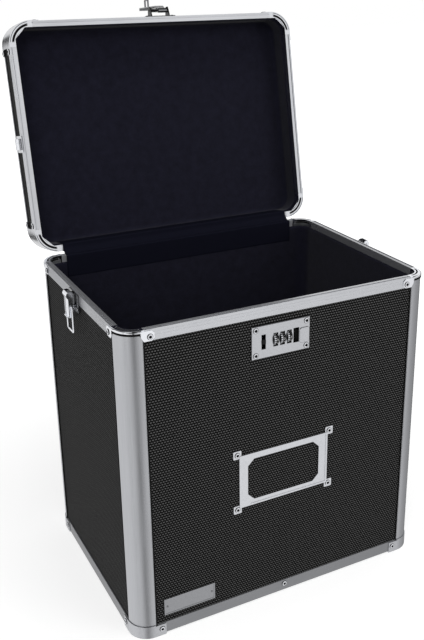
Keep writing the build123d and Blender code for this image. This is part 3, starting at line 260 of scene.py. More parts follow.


# painted shade and dark reflection on the lid corners, as insets from the round corner
DARK_REFLECTION_BANDS = ((0.3 * MM, 0.8 * MM), (2.3 * MM, 4.6 * MM))   # dark bands on a lid corner, in from the round corner
# painted shade and dark reflection on the rim corners: the groove band and the rolled band's foot
RIM_GROOVE_SHADE = (3.0 * MM, 4.6 * MM)        # the dark groove on top of a rim corner, in from the round corner
RIM_FOOT_SHADE = MATING - 2.5 * MM             # height up to which a rim corner's rolled band is dark


def past_corner(f, spots, middle, radius):
    """How far a spot lies past the arc centre of its round corner, along the case and across it, and nought before
    it: |place - middle| - (half - radius), never below nought. Then its distance from that centre."""
    past = [f.sum("MAXIMUM", f.sum("SUBTRACT", f.sum("ABSOLUTE", f.sum("SUBTRACT", spots.outputs[axis], middle[axis])),
                                   CASE_HALF[axis] - radius), 0.0) for axis in range(2)]
    return past, f.sum("SQRT", f.sum("ADD", f.sum("POWER", past[0], 2.0), f.sum("POWER", past[1], 2.0)))


def round_band(f, reach, radius, near, far):
    """One between two insets from the round corner, and nought past them, with soft edges."""
    inner = f.span(reach, radius - far - 0.2 * MM, radius - far + 0.1 * MM)
    outer = f.span(reach, radius - near + 0.2 * MM, radius - near - 0.1 * MM)
    return f.sum("MULTIPLY", inner, outer)


def darkened_chrome(f, dark, level, roughness):
    """Bright plate, painted dull black where the mask of painted shade and dark reflection is one."""
    _, rough = f.handled(roughness)
    f.set(Base_Color=f.blend(dark, grey(level, COOL), grey(0.01)), Metallic=f.sum("SUBTRACT", 1.0, dark),
          Roughness=rough, Specular_IOR_Level=0.0)
    return f.material


def grooved_chrome(name, level=0.70, roughness=0.10):
    """The lid's corner pressings: bright plate with curved bands, at their insets from the round corner, painted
    black as painted shade and dark reflection. Places are turned back to the shut lid, with the hinge axis at nought."""
    f = Finish(name)
    shut = f.node("ShaderNodeMapping", Vector=f.node("ShaderNodeTexCoord").outputs["Object"])
    shut.inputs["Location"].default_value = HINGE_SHIFT
    shut.inputs["Rotation"].default_value = LID_TURN
    spots = f.node("ShaderNodeSeparateXYZ", Vector=shut.outputs[0])
    past, reach = past_corner(f, spots, (0.0, -HINGE[0]), LID_RADIUS)
    both = f.span(f.sum("MINIMUM", *past), 2.6 * MM, 4.0 * MM)
    facing = f.span(spots.outputs[2], 6.0 * MM, 5.0 * MM)
    bands = [round_band(f, reach, LID_RADIUS, near, far) for near, far in DARK_REFLECTION_BANDS]
    # painted shade and dark reflection: the mask turns these bands black
    dark = f.sum("MULTIPLY", f.sum("MAXIMUM", *bands), f.sum("MULTIPLY", both, facing))
    f.relief(f.noise(f.place(), 90.0, 2.0), 0.15 * MM, 0.35)
    return darkened_chrome(f, dark, level, roughness)


def rolled_chrome(name, level=0.85, roughness=0.08):
    """The case's rim corners: bright plate, painted dark along the foot of the rolled band and in its top groove, as
    painted shade and dark reflection.
    """
    f = Finish(name)
    spots = f.node("ShaderNodeSeparateXYZ", Vector=f.place())
    past, reach = past_corner(f, spots, (0.0, 0.0), BODY_RADIUS)
    both = f.span(f.sum("MINIMUM", *past), 0.5 * MM, 1.5 * MM)
    foot = f.span(spots.outputs[2], RIM_FOOT_SHADE + 0.2 * MM, RIM_FOOT_SHADE)
    groove = round_band(f, reach, BODY_RADIUS, *RIM_GROOVE_SHADE)
    # the foot and groove masks are painted shade and dark reflection
    return darkened_chrome(f, f.sum("MULTIPLY", f.sum("MAXIMUM", foot, groove), both), level, roughness)


def rivet_metal(name, level=0.88):
    """Nickel on a rivet: bright, with painted shade in the drilled middle and round the foot, by its own ring value.
    """
    f = Finish(name)
    ring = f.attribute("ring")
    marks = f.noise(f.place(), 900.0, 3.0)
    middle = f.span(ring, 0.54, 0.46)
    foot = f.span(ring, 0.84, 0.92)
    # painted shade: black in the drilled middle and round the foot of each head
    painted_shade = f.sum("MAXIMUM", middle, foot)
    f.set(Base_Color=f.blend(painted_shade, f.blend(marks, grey(level, COOL), grey(level * 0.85, COOL)), grey(0.006)),
          Metallic=f.sum("SUBTRACT", 1.0, painted_shade), Roughness=f.span(painted_shade, 0.0, 1.0, 0.14, 0.6))
    f.set(Specular_IOR_Level=0.0)
    return f.material


def felt(name, colour=(0.0088, 0.0088, 0.0165)):
    """Short navy-black felt: matted fibres, a soft nap that catches grazing light."""
    f = Finish(name)
    fibre = f.noise(f.place(), 1500.0, 4.0, 0.7)
    mat = f.noise(f.place(), 120.0, 3.0, 0.6)
    dark = tuple(c * 0.7 for c in colour) + (1.0,)
    light = tuple(c * 1.6 for c in colour) + (1.0,)
    f.set(Base_Color=f.blend(f.span(f.sum("ADD", fibre, f.sum("MULTIPLY", mat, 0.6)), 0.55, 1.05), dark, light),
          Roughness=0.95)
    f.set(Specular_IOR_Level=0.1)
    f.set(Sheen_Weight=0.10, Sheen_Roughness=0.5)
    f.relief(f.sum("ADD", fibre, mat), 0.3 * MM, 0.7)
    return f.material


def woven_strip(name):
    """Black woven tape: plain weave of threads half a millimetre apart."""
    f = Finish(name)
    spots = f.node("ShaderNodeUVMap", {"uv_map": "thread"}).outputs[0]
    split = f.node("ShaderNodeSeparateXYZ", Vector=spots)
    warp = f.sum("SINE", split.outputs[0])
    weft = f.sum("SINE", split.outputs[1])
    weave = f.sum("MULTIPLY", warp, weft)
    f.set(Base_Color=f.blend(f.span(weave, -1.0, 1.0), grey(0.004, NAVY), grey(0.010, NAVY)), Roughness=0.9)
    f.set(Specular_IOR_Level=0.05)
    f.relief(weave, 0.1 * MM, 0.6)
    return f.material


def black_moulding(name, level=0.012, roughness=0.35):
    """Black plastic or blackened steel with a fine orange-peel skin."""
    f = Finish(name)
    peel = f.noise(f.place(), 1200.0, 2.0)
    f.set(Base_Color=f.blend(f.span(peel, 0.3, 0.7), grey(level * 0.8), grey(level * 1.2)), Roughness=roughness)
    f.set(Specular_IOR_Level=0.1)
    f.relief(peel, 0.02 * MM, 0.4)
    return f.material


def dial_finish(name):
    """A dial's two materials in one: nickel where the knurl value is one, black plastic elsewhere."""
    f = Finish(name)
    knurl = f.attribute("knurl")
    peel = f.noise(f.place(), 1200.0, 2.0)
    black = f.blend(f.span(peel, 0.3, 0.7), grey(0.004), grey(0.008))
    f.set(Base_Color=f.blend(knurl, black, grey(0.80, COOL)), Metallic=knurl,
          Roughness=f.span(knurl, 0.0, 1.0, 0.4, 0.16))
    f.set(Specular_IOR_Level=0.1)
    return f.material


def paint(name, colour, roughness=0.5):
    """Plain print on a small raised mark, with a faint unevenness."""
    f = Finish(name)
    f.set(Base_Color=f.blend(f.noise(f.place(), 800.0), grey(colour * 0.9), grey(colour)), Roughness=roughness)
    return f.material


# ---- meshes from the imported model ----
MERGE = 1e-6
FLAT = math.radians(0.5)


def solid_mesh(node):
    """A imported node's corners and triangles as arrays: corners at one place become one, by rounded places."""
    mesh = frame["nodes"][node].data
    places = np.empty(len(mesh.vertices) * 3)
    mesh.vertices.foreach_get("co", places)
    places = places.reshape(-1, 3)
    loops = np.empty(len(mesh.loops), dtype=np.int64)
    mesh.loops.foreach_get("vertex_index", loops)
    keys = np.round(places / MERGE).astype(np.int64)
    _, first, index = np.unique(keys, axis=0, return_index=True, return_inverse=True)
    triangles = index.reshape(-1)[loops].reshape(-1, 3)
    proper = (triangles[:, 0] != triangles[:, 1]) & (triangles[:, 1] != triangles[:, 2]) \
        & (triangles[:, 2] != triangles[:, 0])
    return places[first], triangles[proper]


def new_piece(name, corners, faces, finish, body):
    """A piece from arrays of corners and faces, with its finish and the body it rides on."""
    mesh = bpy.data.meshes.new(name)
    mesh.from_pydata(np.asarray(corners).tolist(), [], [list(map(int, face)) for face in faces])
    mesh.materials.append(finish)
    mesh.polygons.foreach_set("use_smooth", np.ones(len(mesh.polygons), dtype=bool))
    mesh.update()
    piece = bpy.data.objects.new(name, mesh)
    bpy.context.collection.objects.link(piece)
    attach(piece, body)
    return piece


def soften(piece, width, segments=2, angle=32.0):
    """Breaks the sharp edges of a piece, then shades its flats flat and its rounds round."""
    bevel = piece.modifiers.new("broken_edges", "BEVEL")
    bevel.width, bevel.segments = width, segments
    bevel.limit_method, bevel.angle_limit = "ANGLE", math.radians(angle)
    bevel.use_clamp_overlap = True
    bevel.miter_outer = "MITER_ARC"
    shading = piece.modifiers.new("flat_faces", "WEIGHTED_NORMAL")
    shading.keep_sharp = True
    shading.weight = 100


BODY_OF = {node: body for body, nodes in frame["record"]["behaviour"]["bodies"].items() for node in nodes}
SLOT_OF = {entry["node"]: entry["material_slot"] for entry in frame["record"]["subparts"]}


def dress(node, finish, edge=0.25 * MM, segments=2, angle=32.0):
    """The node's own shape with its flats joined, its edges broken by a small radius, and its finish."""
    corners, triangles = solid_mesh(node)
    piece = new_piece("finished_" + node, corners, triangles, finish, BODY_OF[node])
    work = bmesh.new()
    work.from_mesh(piece.data)
    bmesh.ops.dissolve_limit(work, angle_limit=FLAT, verts=work.verts, edges=work.edges)
    work.to_mesh(piece.data)
    work.free()
    piece.data.polygons.foreach_set("use_smooth", np.ones(len(piece.data.polygons), dtype=bool))
    if edge:
        soften(piece, edge, segments, angle)
    else:
        piece.data.set_sharp_from_angle(angle=math.radians(angle))
    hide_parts(node)
    return piece


# ---- surfaces worked out with numpy ----
def swung(points):
    """Points of the shut lid, turned open about the hinge axis: y and z turn by the open angle, x stays."""
    points = np.asarray(points, float)
    y, z = points[..., 1] - HINGE[0], points[..., 2] - HINGE[1]
    c, s = math.cos(OPEN_ANGLE), math.sin(OPEN_ANGLE)
    return np.stack([points[..., 0], HINGE[0] + y * c + z * s, HINGE[1] - y * s + z * c], axis=-1)


def round_rectangle(half_x, half_y, radius, step=2.0 * MM, arc_steps=12):
    """The way round a rectangle with round corners: for each stop its arc centre and its outward direction.
    Runs are stepped evenly, and corners by equal angles."""
    cx, cy = half_x - radius, half_y - radius
    turn = np.linspace(0, math.pi / 2, arc_steps + 1)
    centres, outwards = [], []
    for k, (x, y) in enumerate(((cx, cy), (-cx, cy), (-cx, -cy), (cx, -cy))):
        angle = turn + k * math.pi / 2
        outward = np.stack([np.cos(angle), np.sin(angle)], axis=1)
        centres.append(np.repeat([[x, y]], len(turn), axis=0))
        outwards.append(outward)
        run = 2 * (cx if k % 2 == 0 else cy)
        shares = np.linspace(0, 1, max(int(run / step), 2) + 1)[1:-1, None]
        direction = np.array([-outward[-1][1], outward[-1][0]])
        centres.append(np.array([x, y]) + shares * run * direction)
        outwards.append(np.repeat(outward[-1:], len(shares), axis=0))
    return np.concatenate(centres), np.concatenate(outwards)


def carried_round(way, radius, profile):
    """A profile carried round the way. Each of its points is an inset, a height and a share: the place is
    share x (arc centre + (radius - inset) x outward direction), at that height."""
    centres, outwards = way
    inset, height, share = (np.array(column)[:, None] for column in zip(*profile))
    x = share * (centres[:, 0] + (radius - inset) * outwards[:, 0])
    y = share * (centres[:, 1] + (radius - inset) * outwards[:, 1])
    return np.stack([x, y, np.broadcast_to(height, x.shape)], axis=-1)


def grid_faces(rows, columns, wrap_columns=False, wrap_rows=False):
    """Four-cornered faces of a grid of corners, joined round where it wraps."""
    r = np.arange(rows if wrap_rows else rows - 1)[:, None]
    c = np.arange(columns if wrap_columns else columns - 1)[None, :]
    down, right = (r + 1) % rows, (c + 1) % columns
    return np.stack([r * columns + c, r * columns + right, down * columns + right, down * columns + c],
                    axis=-1).reshape(-1, 4)


def closed_grid(grid, first_pole, last_pole):
    """Corners and faces of a grid that wraps along its rows, closed by a fan from a pole at each end."""
    rows, columns = grid.shape[:2]
    corners = np.concatenate([grid.reshape(-1, 3), [first_pole], [last_pole]])
    around = np.arange(columns)
    onward = (around + 1) % columns
    last = (rows - 1) * columns
    first_fan = np.stack([np.full(columns, rows * columns), onward, around], axis=1)
    last_fan = np.stack([np.full(columns, rows * columns + 1), last + around, last + onward], axis=1)
    return corners, grid_faces(rows, columns, True).tolist() + first_fan.tolist() + last_fan.tolist()


def outward_faces(corners, faces):
    """The faces of a closed shell, turned round if its volume, summed over fans of triangles, is negative."""
    triangles = np.array([(f[0], f[k], f[k + 1]) for f in faces for k in range(1, len(f) - 1)])
    a, b, c = (corners[triangles[:, k]] for k in range(3))
    volume = np.einsum("ij,ij->", a, np.cross(b, c))
    return faces if volume > 0 else [list(reversed(f)) for f in faces]


def soft_waves(across, along, depth):
    """A shallow unevenness: three crossing sine waves of unlike lengths, added up."""
    broad = np.sin(across / 0.021 + 1.3) * np.sin(along / 0.034)
    slant = 0.6 * np.sin(across / 0.047 - along / 0.029)
    fine = 0.4 * np.sin(across / 0.011 + along / 0.017)
    return depth * (broad + slant + fine) / 2.0


def shell_piece(name, corners, faces, finish, body, slot, *nodes):
    """A closed piece that stands for CAD nodes, with its flats shaded flat past 40 degrees."""
    piece = new_piece(name, corners, outward_faces(corners, faces), finish, body)
    piece.data.set_sharp_from_angle(angle=math.radians(40))
    if nodes:
        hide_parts(*nodes)
    return piece


FELT_INSET = 7.1 * MM                  # the felt's face, in from the case's sides
FELT_THICK = 0.7 * MM
LINING_HEIGHTS = (8.1 * MM, 322.5 * MM)
LINING_ROWS = 80
CALM_EDGE = 6 * MM                     # how near its upper and lower edges the wall felt lies flat
LOCK_GAP = 0.5 * MM


def wall_felt(finish):
    """Felt on the four walls: the inset rectangle carried up the case, with shallow waves and a hole cut round the
    lock's housing; the sheet then gets its thickness towards the boards."""
    centres, outwards = round_rectangle(*CASE_HALF, BODY_RADIUS)
    low, high = (np.array(c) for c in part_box("lock_body"))
    left, right = low[0] - LOCK_GAP, high[0] + LOCK_GAP
    below, above = low[2] - LOCK_GAP, high[2] + LOCK_GAP
    front = (outwards[:, 1] < -0.999)
    for edge in (left, right):
        nearest = np.argmin(np.where(front, np.abs(centres[:, 0] - edge), 9.0))
        centres[nearest, 0] = edge
    heights = np.linspace(*LINING_HEIGHTS, LINING_ROWS)
    for edge in (below, above):
        heights[np.argmin(np.abs(heights - edge))] = edge
    profile = [(FELT_INSET, z, 1.0) for z in heights]
    grid = carried_round((centres, outwards), BODY_RADIUS, profile)
    steps = np.linalg.norm(np.diff(grid[0], axis=0, append=grid[0][:1]), axis=1)
    along = np.concatenate([[0.0], np.cumsum(steps)[:-1]])
    wave = soft_waves(along[None, :], heights[:, None], 0.12 * MM)
    calm = np.clip((grid[..., 2] - heights[0]) / CALM_EDGE, 0, 1) \
        * np.clip((heights[-1] - grid[..., 2]) / CALM_EDGE, 0, 1)
    grid[..., :2] -= (wave * calm)[..., None] * outwards[None, :, :]
    corners = grid.reshape(-1, 3)
    faces = grid_faces(len(heights), len(centres), True)
    middle = corners[faces].mean(axis=1)
    cut = (middle[:, 1] < 0) & (middle[:, 0] > left) & (middle[:, 0] < right) & (middle[:, 2] > below) \
        & (middle[:, 2] < above) & (np.abs(middle[:, 1] + CASE_HALF[1] - FELT_INSET) < 1 * MM)
    piece = new_piece("felt_on_walls", corners, faces[~cut][:, ::-1], finish, BODY_OF["wall_lining"])
    thick = piece.modifiers.new("felt_thickness", "SOLIDIFY")
    thick.thickness, thick.offset = FELT_THICK, -1.0
    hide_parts("wall_lining")
    return piece


def ramp(a, b, count):
    """Profile points evenly from a to b, without a itself."""
    shares = np.linspace(0, 1, count + 1)[1:]
    return [tuple(np.array(a) + t * (np.array(b) - np.array(a))) for t in shares]


def rounding(inset, height, radius, first, last, count=6):
    """Profile points on an arc about a centre, between two angles in degrees."""
    angle = np.radians(np.linspace(first, last, count + 1))
    return [(inset - radius * math.cos(a), height + radius * math.sin(a), 1.0) for a in angle]


def floor_felt(finish):
    """Felt on the floor: a flat pad with soft edges, its profile carried round from the middle out and back."""
    low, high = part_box("floor_lining")[0][2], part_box("floor_lining")[1][2]
    edge, soft = 6.4 * MM, 0.5 * MM
    top = [(edge + soft, high, share) for share in np.linspace(0.02, 1.0, 50)]
    over = rounding(edge + soft, high - soft, soft, 90, 0)
    under = [(edge, low, 1.0)] + [(edge, low, share) for share in np.linspace(1.0, 0.02, 8)[1:]]
    grid = carried_round(round_rectangle(*CASE_HALF, BODY_RADIUS, 4 * MM), BODY_RADIUS, top + over + under)
    upper = np.arange(len(grid)) < len(top) - 2
    grid[upper, :, 2] -= np.abs(soft_waves(grid[upper, :, 0], grid[upper, :, 1], 0.15 * MM))
    corners, faces = closed_grid(grid, (0, 0, high), (0, 0, low))
    return shell_piece("felt_on_floor", corners, faces, finish, BODY_OF["floor_lining"],
                                 SLOT_OF["floor_lining"], "floor_lining")


def lid_felt(finish):
    """Felt tray in the lid: from the middle of its face out, round a soft corner, along the walls to the cut edge,
    and back outside; worked out shut, then swung open."""
    face, back, rim = MATING + 34.6 * MM - 4.2 * MM, MATING + 31.3 * MM, MATING + 8.05 * MM
    inner, outer, soft = FELT_INSET, 5.4 * MM, 5.0 * MM
    middle = [(inner + soft, face, share) for share in np.linspace(0.02, 1.0, 60)]
    corner = rounding(inner + soft, face - soft, soft, 90, 0, 8)
    wall = ramp((inner, face - soft, 1.0), (inner, rim + 0.6 * MM, 1.0), 10)
    edge = [(inner - 0.2 * MM, rim + 0.15 * MM, 1.0), (inner - 0.6 * MM, rim, 1.0), (outer, rim, 1.0)]
    outside = ramp((outer, rim, 1.0), (outer, back, 1.0), 4)
    closing = [(outer, back, share) for share in np.linspace(1, 0.02, 8)[1:]]
    grid = carried_round(round_rectangle(*CASE_HALF, LID_RADIUS, 4 * MM), LID_RADIUS,
                         middle + corner + wall + edge + outside + closing)
    facing = np.arange(len(grid)) < len(middle) - 2
    grid[facing, :, 2] -= np.abs(soft_waves(grid[facing, :, 0], grid[facing, :, 1], 0.25 * MM))
    corners, faces = closed_grid(grid, (0, 0, face), (0, 0, back))
    return shell_piece("felt_in_lid", swung(corners), faces, finish, BODY_OF["lid_lining"],
                                 SLOT_OF["lid_lining"], "lid_lining")


FLAP_HALF = 140.0 * MM
FLAP_THICK = 0.35 * MM
FLAP_INSIDE = 114.2 * MM               # where the strip hangs, in front of the rear wall's felt
FLAP_DROP = 25.0 * MM
SEAM_PLAY = 0.55 * MM                  # half of the room between the rear rims
THREAD_PITCH = 0.5 * MM


def hinge_strip(finish):
    """The woven strip across the hinge: a line in the plane across the case, down inside the rear wall, over the
    rear rim, up the lid's rim and along the lid's wall, with its corners rounded, carried along the case's width."""
    fold = MATING - SEAM_PLAY + 0.1 * MM
    face = MATING + SEAM_PLAY - 0.1 * MM
    back = 119.6 * MM
    lid_side = swung([(0, back, face), (0, FLAP_INSIDE, face), (0, FLAP_INSIDE, MATING + FLAP_DROP)])[:, 1:]
    stops = np.array([(FLAP_INSIDE, MATING - FLAP_DROP), (FLAP_INSIDE, fold), (back, fold), *map(tuple, lid_side)])
    line = [stops[0]]
    for before, here, after in zip(stops[:-2], stops[1:-1], stops[2:]):
        cut = 1.4 * MM
        first = here + (before - here) / np.linalg.norm(before - here) * cut
        last = here + (after - here) / np.linalg.norm(after - here) * cut
        t = np.linspace(0, 1, 8)[:, None]
        line.append((1 - t) ** 2 * first + 2 * t * (1 - t) * here + t ** 2 * last)
    line.append(stops[-1])
    line = np.concatenate([np.atleast_2d(part) for part in line])
    runs = np.linalg.norm(np.diff(line, axis=0), axis=1)
    reach = np.concatenate([[0.0], np.cumsum(runs)])
    even = np.linspace(0, reach[-1], 90)
    line = np.stack([np.interp(even, reach, line[:, k]) for k in range(2)], axis=1)
    across = np.linspace(-FLAP_HALF, FLAP_HALF, 141)
    grid = np.stack([np.broadcast_to(across, (len(line), len(across))),
                     np.broadcast_to(line[:, :1], (len(line), len(across))),
                     np.broadcast_to(line[:, 1:], (len(line), len(across)))], axis=-1)
    piece = new_piece("hinge_strip", grid.reshape(-1, 3), grid_faces(len(line), len(across)), finish, "case")
    threads = piece.data.uv_layers.new(name="thread")
    place = np.stack([np.broadcast_to(across, (len(line), len(across))),
                      np.broadcast_to(even[:, None], (len(line), len(across)))], axis=-1).reshape(-1, 2)
    place = place / THREAD_PITCH * math.pi
    loops = np.empty(len(piece.data.loops), dtype=np.int64)
    piece.data.loops.foreach_get("vertex_index", loops)
    threads.data.foreach_set("uv", place[loops].ravel())
    thick = piece.modifiers.new("tape_thickness", "SOLIDIFY")
    thick.thickness, thick.offset = FLAP_THICK, 0.0
    piece.parent = None
    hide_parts("hinge_flap")
    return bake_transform(piece)


def heads(name, spots, radius, height_of, finish, body, nodes=(), swing=False, spokes=32, rings=14):
    """Round heads, one at each spot: over its foot plane a head rises by a height worked out from the distance to
    its axis and the angle round it; its own value, ring, is that distance over the radius."""
    share = np.linspace(1.0 / rings, 1.0, rings)[:, None]
    angle = np.linspace(0, 2 * math.pi, spokes, endpoint=False)[None, :]
    rise = height_of(np.concatenate([[[0.0]], share]), np.zeros((1, 1)))[0, 0]
    x, y = share * radius * np.cos(angle), share * radius * np.sin(angle)
    z = height_of(share, angle) * np.ones_like(x)
    foot = np.stack([x[-1:], y[-1:], np.zeros_like(x[-1:])], axis=-1)
    head = np.concatenate([np.stack([x, y, z], axis=-1), foot])
    one, faces = closed_grid(head, (0, 0, rise), (0, 0, 0))
    faces = outward_faces(one, faces)
    value = np.concatenate([np.repeat(share[:, 0], spokes), np.ones(spokes), [0.0, 1.0]])
    places = np.array([p for p, _ in spots]) * MM
    outwards = np.array([n for _, n in spots], float)
    helper = np.where(np.abs(outwards[:, 2:]) > 0.9, [[1.0, 0.0, 0.0]], [[0.0, 0.0, 1.0]])
    side = np.cross(helper, outwards)
    up = np.cross(outwards, side)
    corners = places[:, None] + one[None, :, :1] * side[:, None] + one[None, :, 1:2] * up[:, None] \
        + one[None, :, 2:] * outwards[:, None]
    corners = corners.reshape(-1, 3)
    count = len(one)
    every = [[index + n * count for index in f] for n in range(len(spots)) for f in faces]
    piece = new_piece(name, swung(corners) if swing else corners, every, finish, body)
    ring = piece.data.attributes.new("ring", "FLOAT", "POINT")
    ring.data.foreach_set("value", np.tile(value, len(spots)).astype(np.float32))
    if nodes:
        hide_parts(*nodes)
    return piece


def tubular(height):
    """A tubular rivet's height: a drilled middle, a rolled lip and a rounded fall to the foot, in metres."""
    shares = (0.0, 0.18, 0.30, 0.38, 0.50, 0.72, 0.88, 0.97, 1.0)
    levels = (0.30, 0.32, 0.45, 0.86, 1.0, 0.95, 0.72, 0.40, 0.20)
    return lambda share, angle: np.interp(share, shares, levels) * height


def cross_head(radius, height):
    """A domed screw head's height, less a cross recess with soft walls, in metres."""
    def level(share, angle):
        dome = height * (1 - 0.55 * share ** 2 - 0.25 * share ** 8)
        x, y = np.abs(share * radius * np.cos(angle)), np.abs(share * radius * np.sin(angle))
        narrow, long = 0.42 * MM, 1.7 * MM
        arm = np.maximum(np.minimum(narrow - x, long - y), np.minimum(narrow - y, long - x))
        return dome - 0.45 * MM * np.clip(arm / (0.25 * MM) + 0.5, 0, 1)
    return level


def corner_spots(along, out, heights):
    """Spots on both legs of the four corner pieces: so far along from the corner, so far out from the side."""
    width, depth = CASE_HALF[0] / MM, CASE_HALF[1] / MM
    return [spot for z in heights for sx in (-1, 1) for sy in (-1, 1)
            for spot in (((sx * (width - along), sy * (depth + out), z), (0, sy, 0)),
                         ((sx * (width + out), sy * (depth - along), z), (sx, 0, 0)))]


# the dials, in millimetres
DIAL_CENTRES = (-13.0, -5.6, 1.8)
DIAL_AXIS = (-118.8, 294.7)            # y and z
DIAL_HALF, DIAL_BORE = 2.5, 1.75       # half its width, and its bore's radius
DIAL_BAND = -0.7                       # across the dial: knurled before it, numbered past it
NOTCH_STEP, NOTCH_REACH, NOTCH_DEPTH = 18.0, 5.0, 0.75


def number_dial(number, centre):
    """A dial: its section, out along one side, across the rim and back to the bore, carried round the axis. The
    rim's radius falls in twenty V notches on the knurled part, and is a plain smaller band under the numbers."""
    rim = np.array([-DIAL_HALF, -DIAL_HALF + 0.25, -1.6, DIAL_BAND - 0.1, DIAL_BAND, DIAL_BAND + 0.25, 1.0,
                    DIAL_HALF - 0.3, DIAL_HALF])
    across = np.concatenate([[-DIAL_HALF, -DIAL_HALF], rim, [DIAL_HALF, DIAL_HALF]])
    base = np.concatenate([[DIAL_BORE, 5.4], [6.35, 6.6, 6.6, 6.6, 6.5, 6.25, 6.25, 6.25, 6.0], [5.4, DIAL_BORE]])
    notched = np.concatenate([[0, 0], [1, 1, 1, 1, 0.6, 0, 0, 0, 0], [0, 0]])
    angle = np.linspace(0, 2 * math.pi, 240, endpoint=False)
    from_notch = np.abs((np.degrees(angle) / NOTCH_STEP) % 1.0 - 0.5) * NOTCH_STEP
    notch = np.clip(1.0 - from_notch / NOTCH_REACH, 0, 1) * NOTCH_DEPTH
    radius = (base[:, None] - notched[:, None] * notch[None, :]) * MM
    grid = np.stack([np.broadcast_to((centre + across[:, None]) * MM, radius.shape),
                     DIAL_AXIS[0] * MM - radius * np.cos(angle),
                     DIAL_AXIS[1] * MM + radius * np.sin(angle)], axis=-1)
    corners, faces = grid.reshape(-1, 3), grid_faces(*radius.shape, True, True).tolist()
    node = f"dial_{number}"
    piece = shell_piece("finished_" + node, corners, faces, DIALS, BODY_OF[node], SLOT_OF[node], node)
    bright = (notched[:, None] * (1.0 - np.clip(notch / 0.3, 0, 1))[None, :]).astype(np.float32).ravel()
    knurl = piece.data.attributes.new("knurl", "FLOAT", "POINT")
    knurl.data.foreach_set("value", np.ascontiguousarray(bright))


def dial_numbers(number, centre):
    """The ten numbers of a dial: each flat figure is wrapped on the band, its height turned into an angle."""
    corners, faces = [], []
    for digit in range(10):
        text = bpy.data.curves.new("figure", "FONT")
        text.body, text.size, text.align_x, text.align_y = str(digit), 3.6 * MM, "CENTER", "CENTER"
        carrier = bpy.data.objects.new("figure", text)
        flat = bpy.data.meshes.new_from_object(carrier)
        places = np.empty(len(flat.vertices) * 3)
        flat.vertices.foreach_get("co", places)
        places = places.reshape(-1, 3)
        radius = 6.30 * MM
        angle = places[:, 1] / radius + math.radians(36.0 * digit)
        figure = np.stack([(centre + 0.95) * MM + places[:, 0] * 0.8,
                           DIAL_AXIS[0] * MM - radius * np.cos(angle),
                           DIAL_AXIS[1] * MM + radius * np.sin(angle)], axis=-1)
        faces += [[index + sum(map(len, corners)) for index in p.vertices] for p in flat.polygons]
        corners.append(figure)
        bpy.data.objects.remove(carrier)
    node = f"dial_{number}"
    new_piece(f"numbers_on_dial_{number}", np.concatenate(corners), faces, FIGURES, BODY_OF[node])


# ---- the case ----
laminate = board_laminate("board_laminate")
lid_laminate = board_laminate("lid_board_laminate", LID_TURN)
# painted light and shade: one aluminium at different levels, lid and front rims lighter, posts and side rims darker,
# base rails darkest
post_aluminium = brushed_aluminium("post_aluminium", along=2, level=0.53, roughness=0.36, shade_from=21.0 * MM)
front_aluminium = brushed_aluminium("front_rim_aluminium", along=0, level=0.68, metal=0.75)
shaded_side_aluminium = brushed_aluminium("side_rim_aluminium_painted_shade", along=1, level=0.52, metal=0.75)
shaded_base_aluminium = brushed_aluminium("base_rail_aluminium_painted_shade", along=0, level=0.29, metal=0.85)
lid_aluminium = brushed_aluminium("lid_rim_aluminium", LID_TURN, along=0, level=0.72)
chrome = chrome_plate("chrome_plate", 0.92)
corner_chrome = grooved_chrome("lid_corner_chrome")
# painted shade: a darker copy of chrome for the base corners, standing for the shadowed floor they reflect
shaded_base_chrome = chrome_plate("base_corner_chrome_painted_shade", 0.56, 0.32)
nickel = chrome_plate("nickel_plate", 0.70, 0.22)
# painted dark reflection: a near-black copy of nickel for the hasp's base, pin and spring
reflection_dark_nickel = chrome_plate("nickel_plate_painted_dark_reflection", 0.05, 0.22)
shaded_nickel = chrome_plate("shaded_nickel_plate", 0.22, 0.12)
rim_chrome = rolled_chrome("rim_corner_chrome")
lock_chrome = chrome_plate("lock_plate_chrome", 0.58, 0.22)
holder_zinc = chrome_plate("holder_zinc", 0.74, 0.28)
plate_nickel = chrome_plate("name_plate_nickel", 0.36, 0.30)
rivets = rivet_metal("rivet_nickel")
navy_felt = felt("navy_felt")
tape = woven_strip("black_tape")
slider_black = black_moulding("slider_black")
housing_black = black_moulding("housing_black", 0.006, 0.5)
DIALS = dial_finish("dial_metal_and_black")
FIGURES = paint("dial_figures", 0.75)

for node in ("front_panel", "rear_panel", "left_panel", "right_panel", "bottom_panel"):
    dress(node, laminate, 0)
for node in ("lid_panel", "lid_side_boards"):
    dress(node, lid_laminate, 0)
for corner in ("front_left", "front_right", "rear_right", "rear_left"):
    dress("corner_post_" + corner, post_aluminium, 0.35 * MM, 3)
for node in ("rim_front", "rim_rear"):
    dress(node, front_aluminium, 0.9 * MM, 3)
for node in ("rim_left", "rim_right"):
    dress(node, shaded_side_aluminium, 0.9 * MM, 3)
dress("base_rails", shaded_base_aluminium, 0.2 * MM)
dress("lid_rims", lid_aluminium, 0.2 * MM)
dress("lid_edge_rails", lid_aluminium, 0.2 * MM)
dress("rim_corners", rim_chrome, 0.3 * MM)
dress("base_corners", shaded_base_chrome, 0.3 * MM)
dress("lid_corners", corner_chrome, 0.3 * MM)
for side in ("left", "right"):
    dress("latch_plate_" + side, shaded_nickel, 0.25 * MM)
    for part in ("latch_lever_", "latch_keeper_"):
        dress(part + side, chrome, 0.25 * MM)
    dress("latch_bail_" + side, chrome, 0)
    dress("latch_pin_" + side, nickel, 0.15 * MM)
    for part in ("hinge_leaf_case_", "hinge_leaf_lid_"):
        dress(part + side, nickel, 0.2 * MM)
    dress("hinge_pin_" + side, nickel, 0.15 * MM)
dress("hasp_base", reflection_dark_nickel, 0.25 * MM)
dress("hasp_arm", shaded_nickel, 0.25 * MM)
dress("hasp_pin", reflection_dark_nickel, 0.15 * MM)
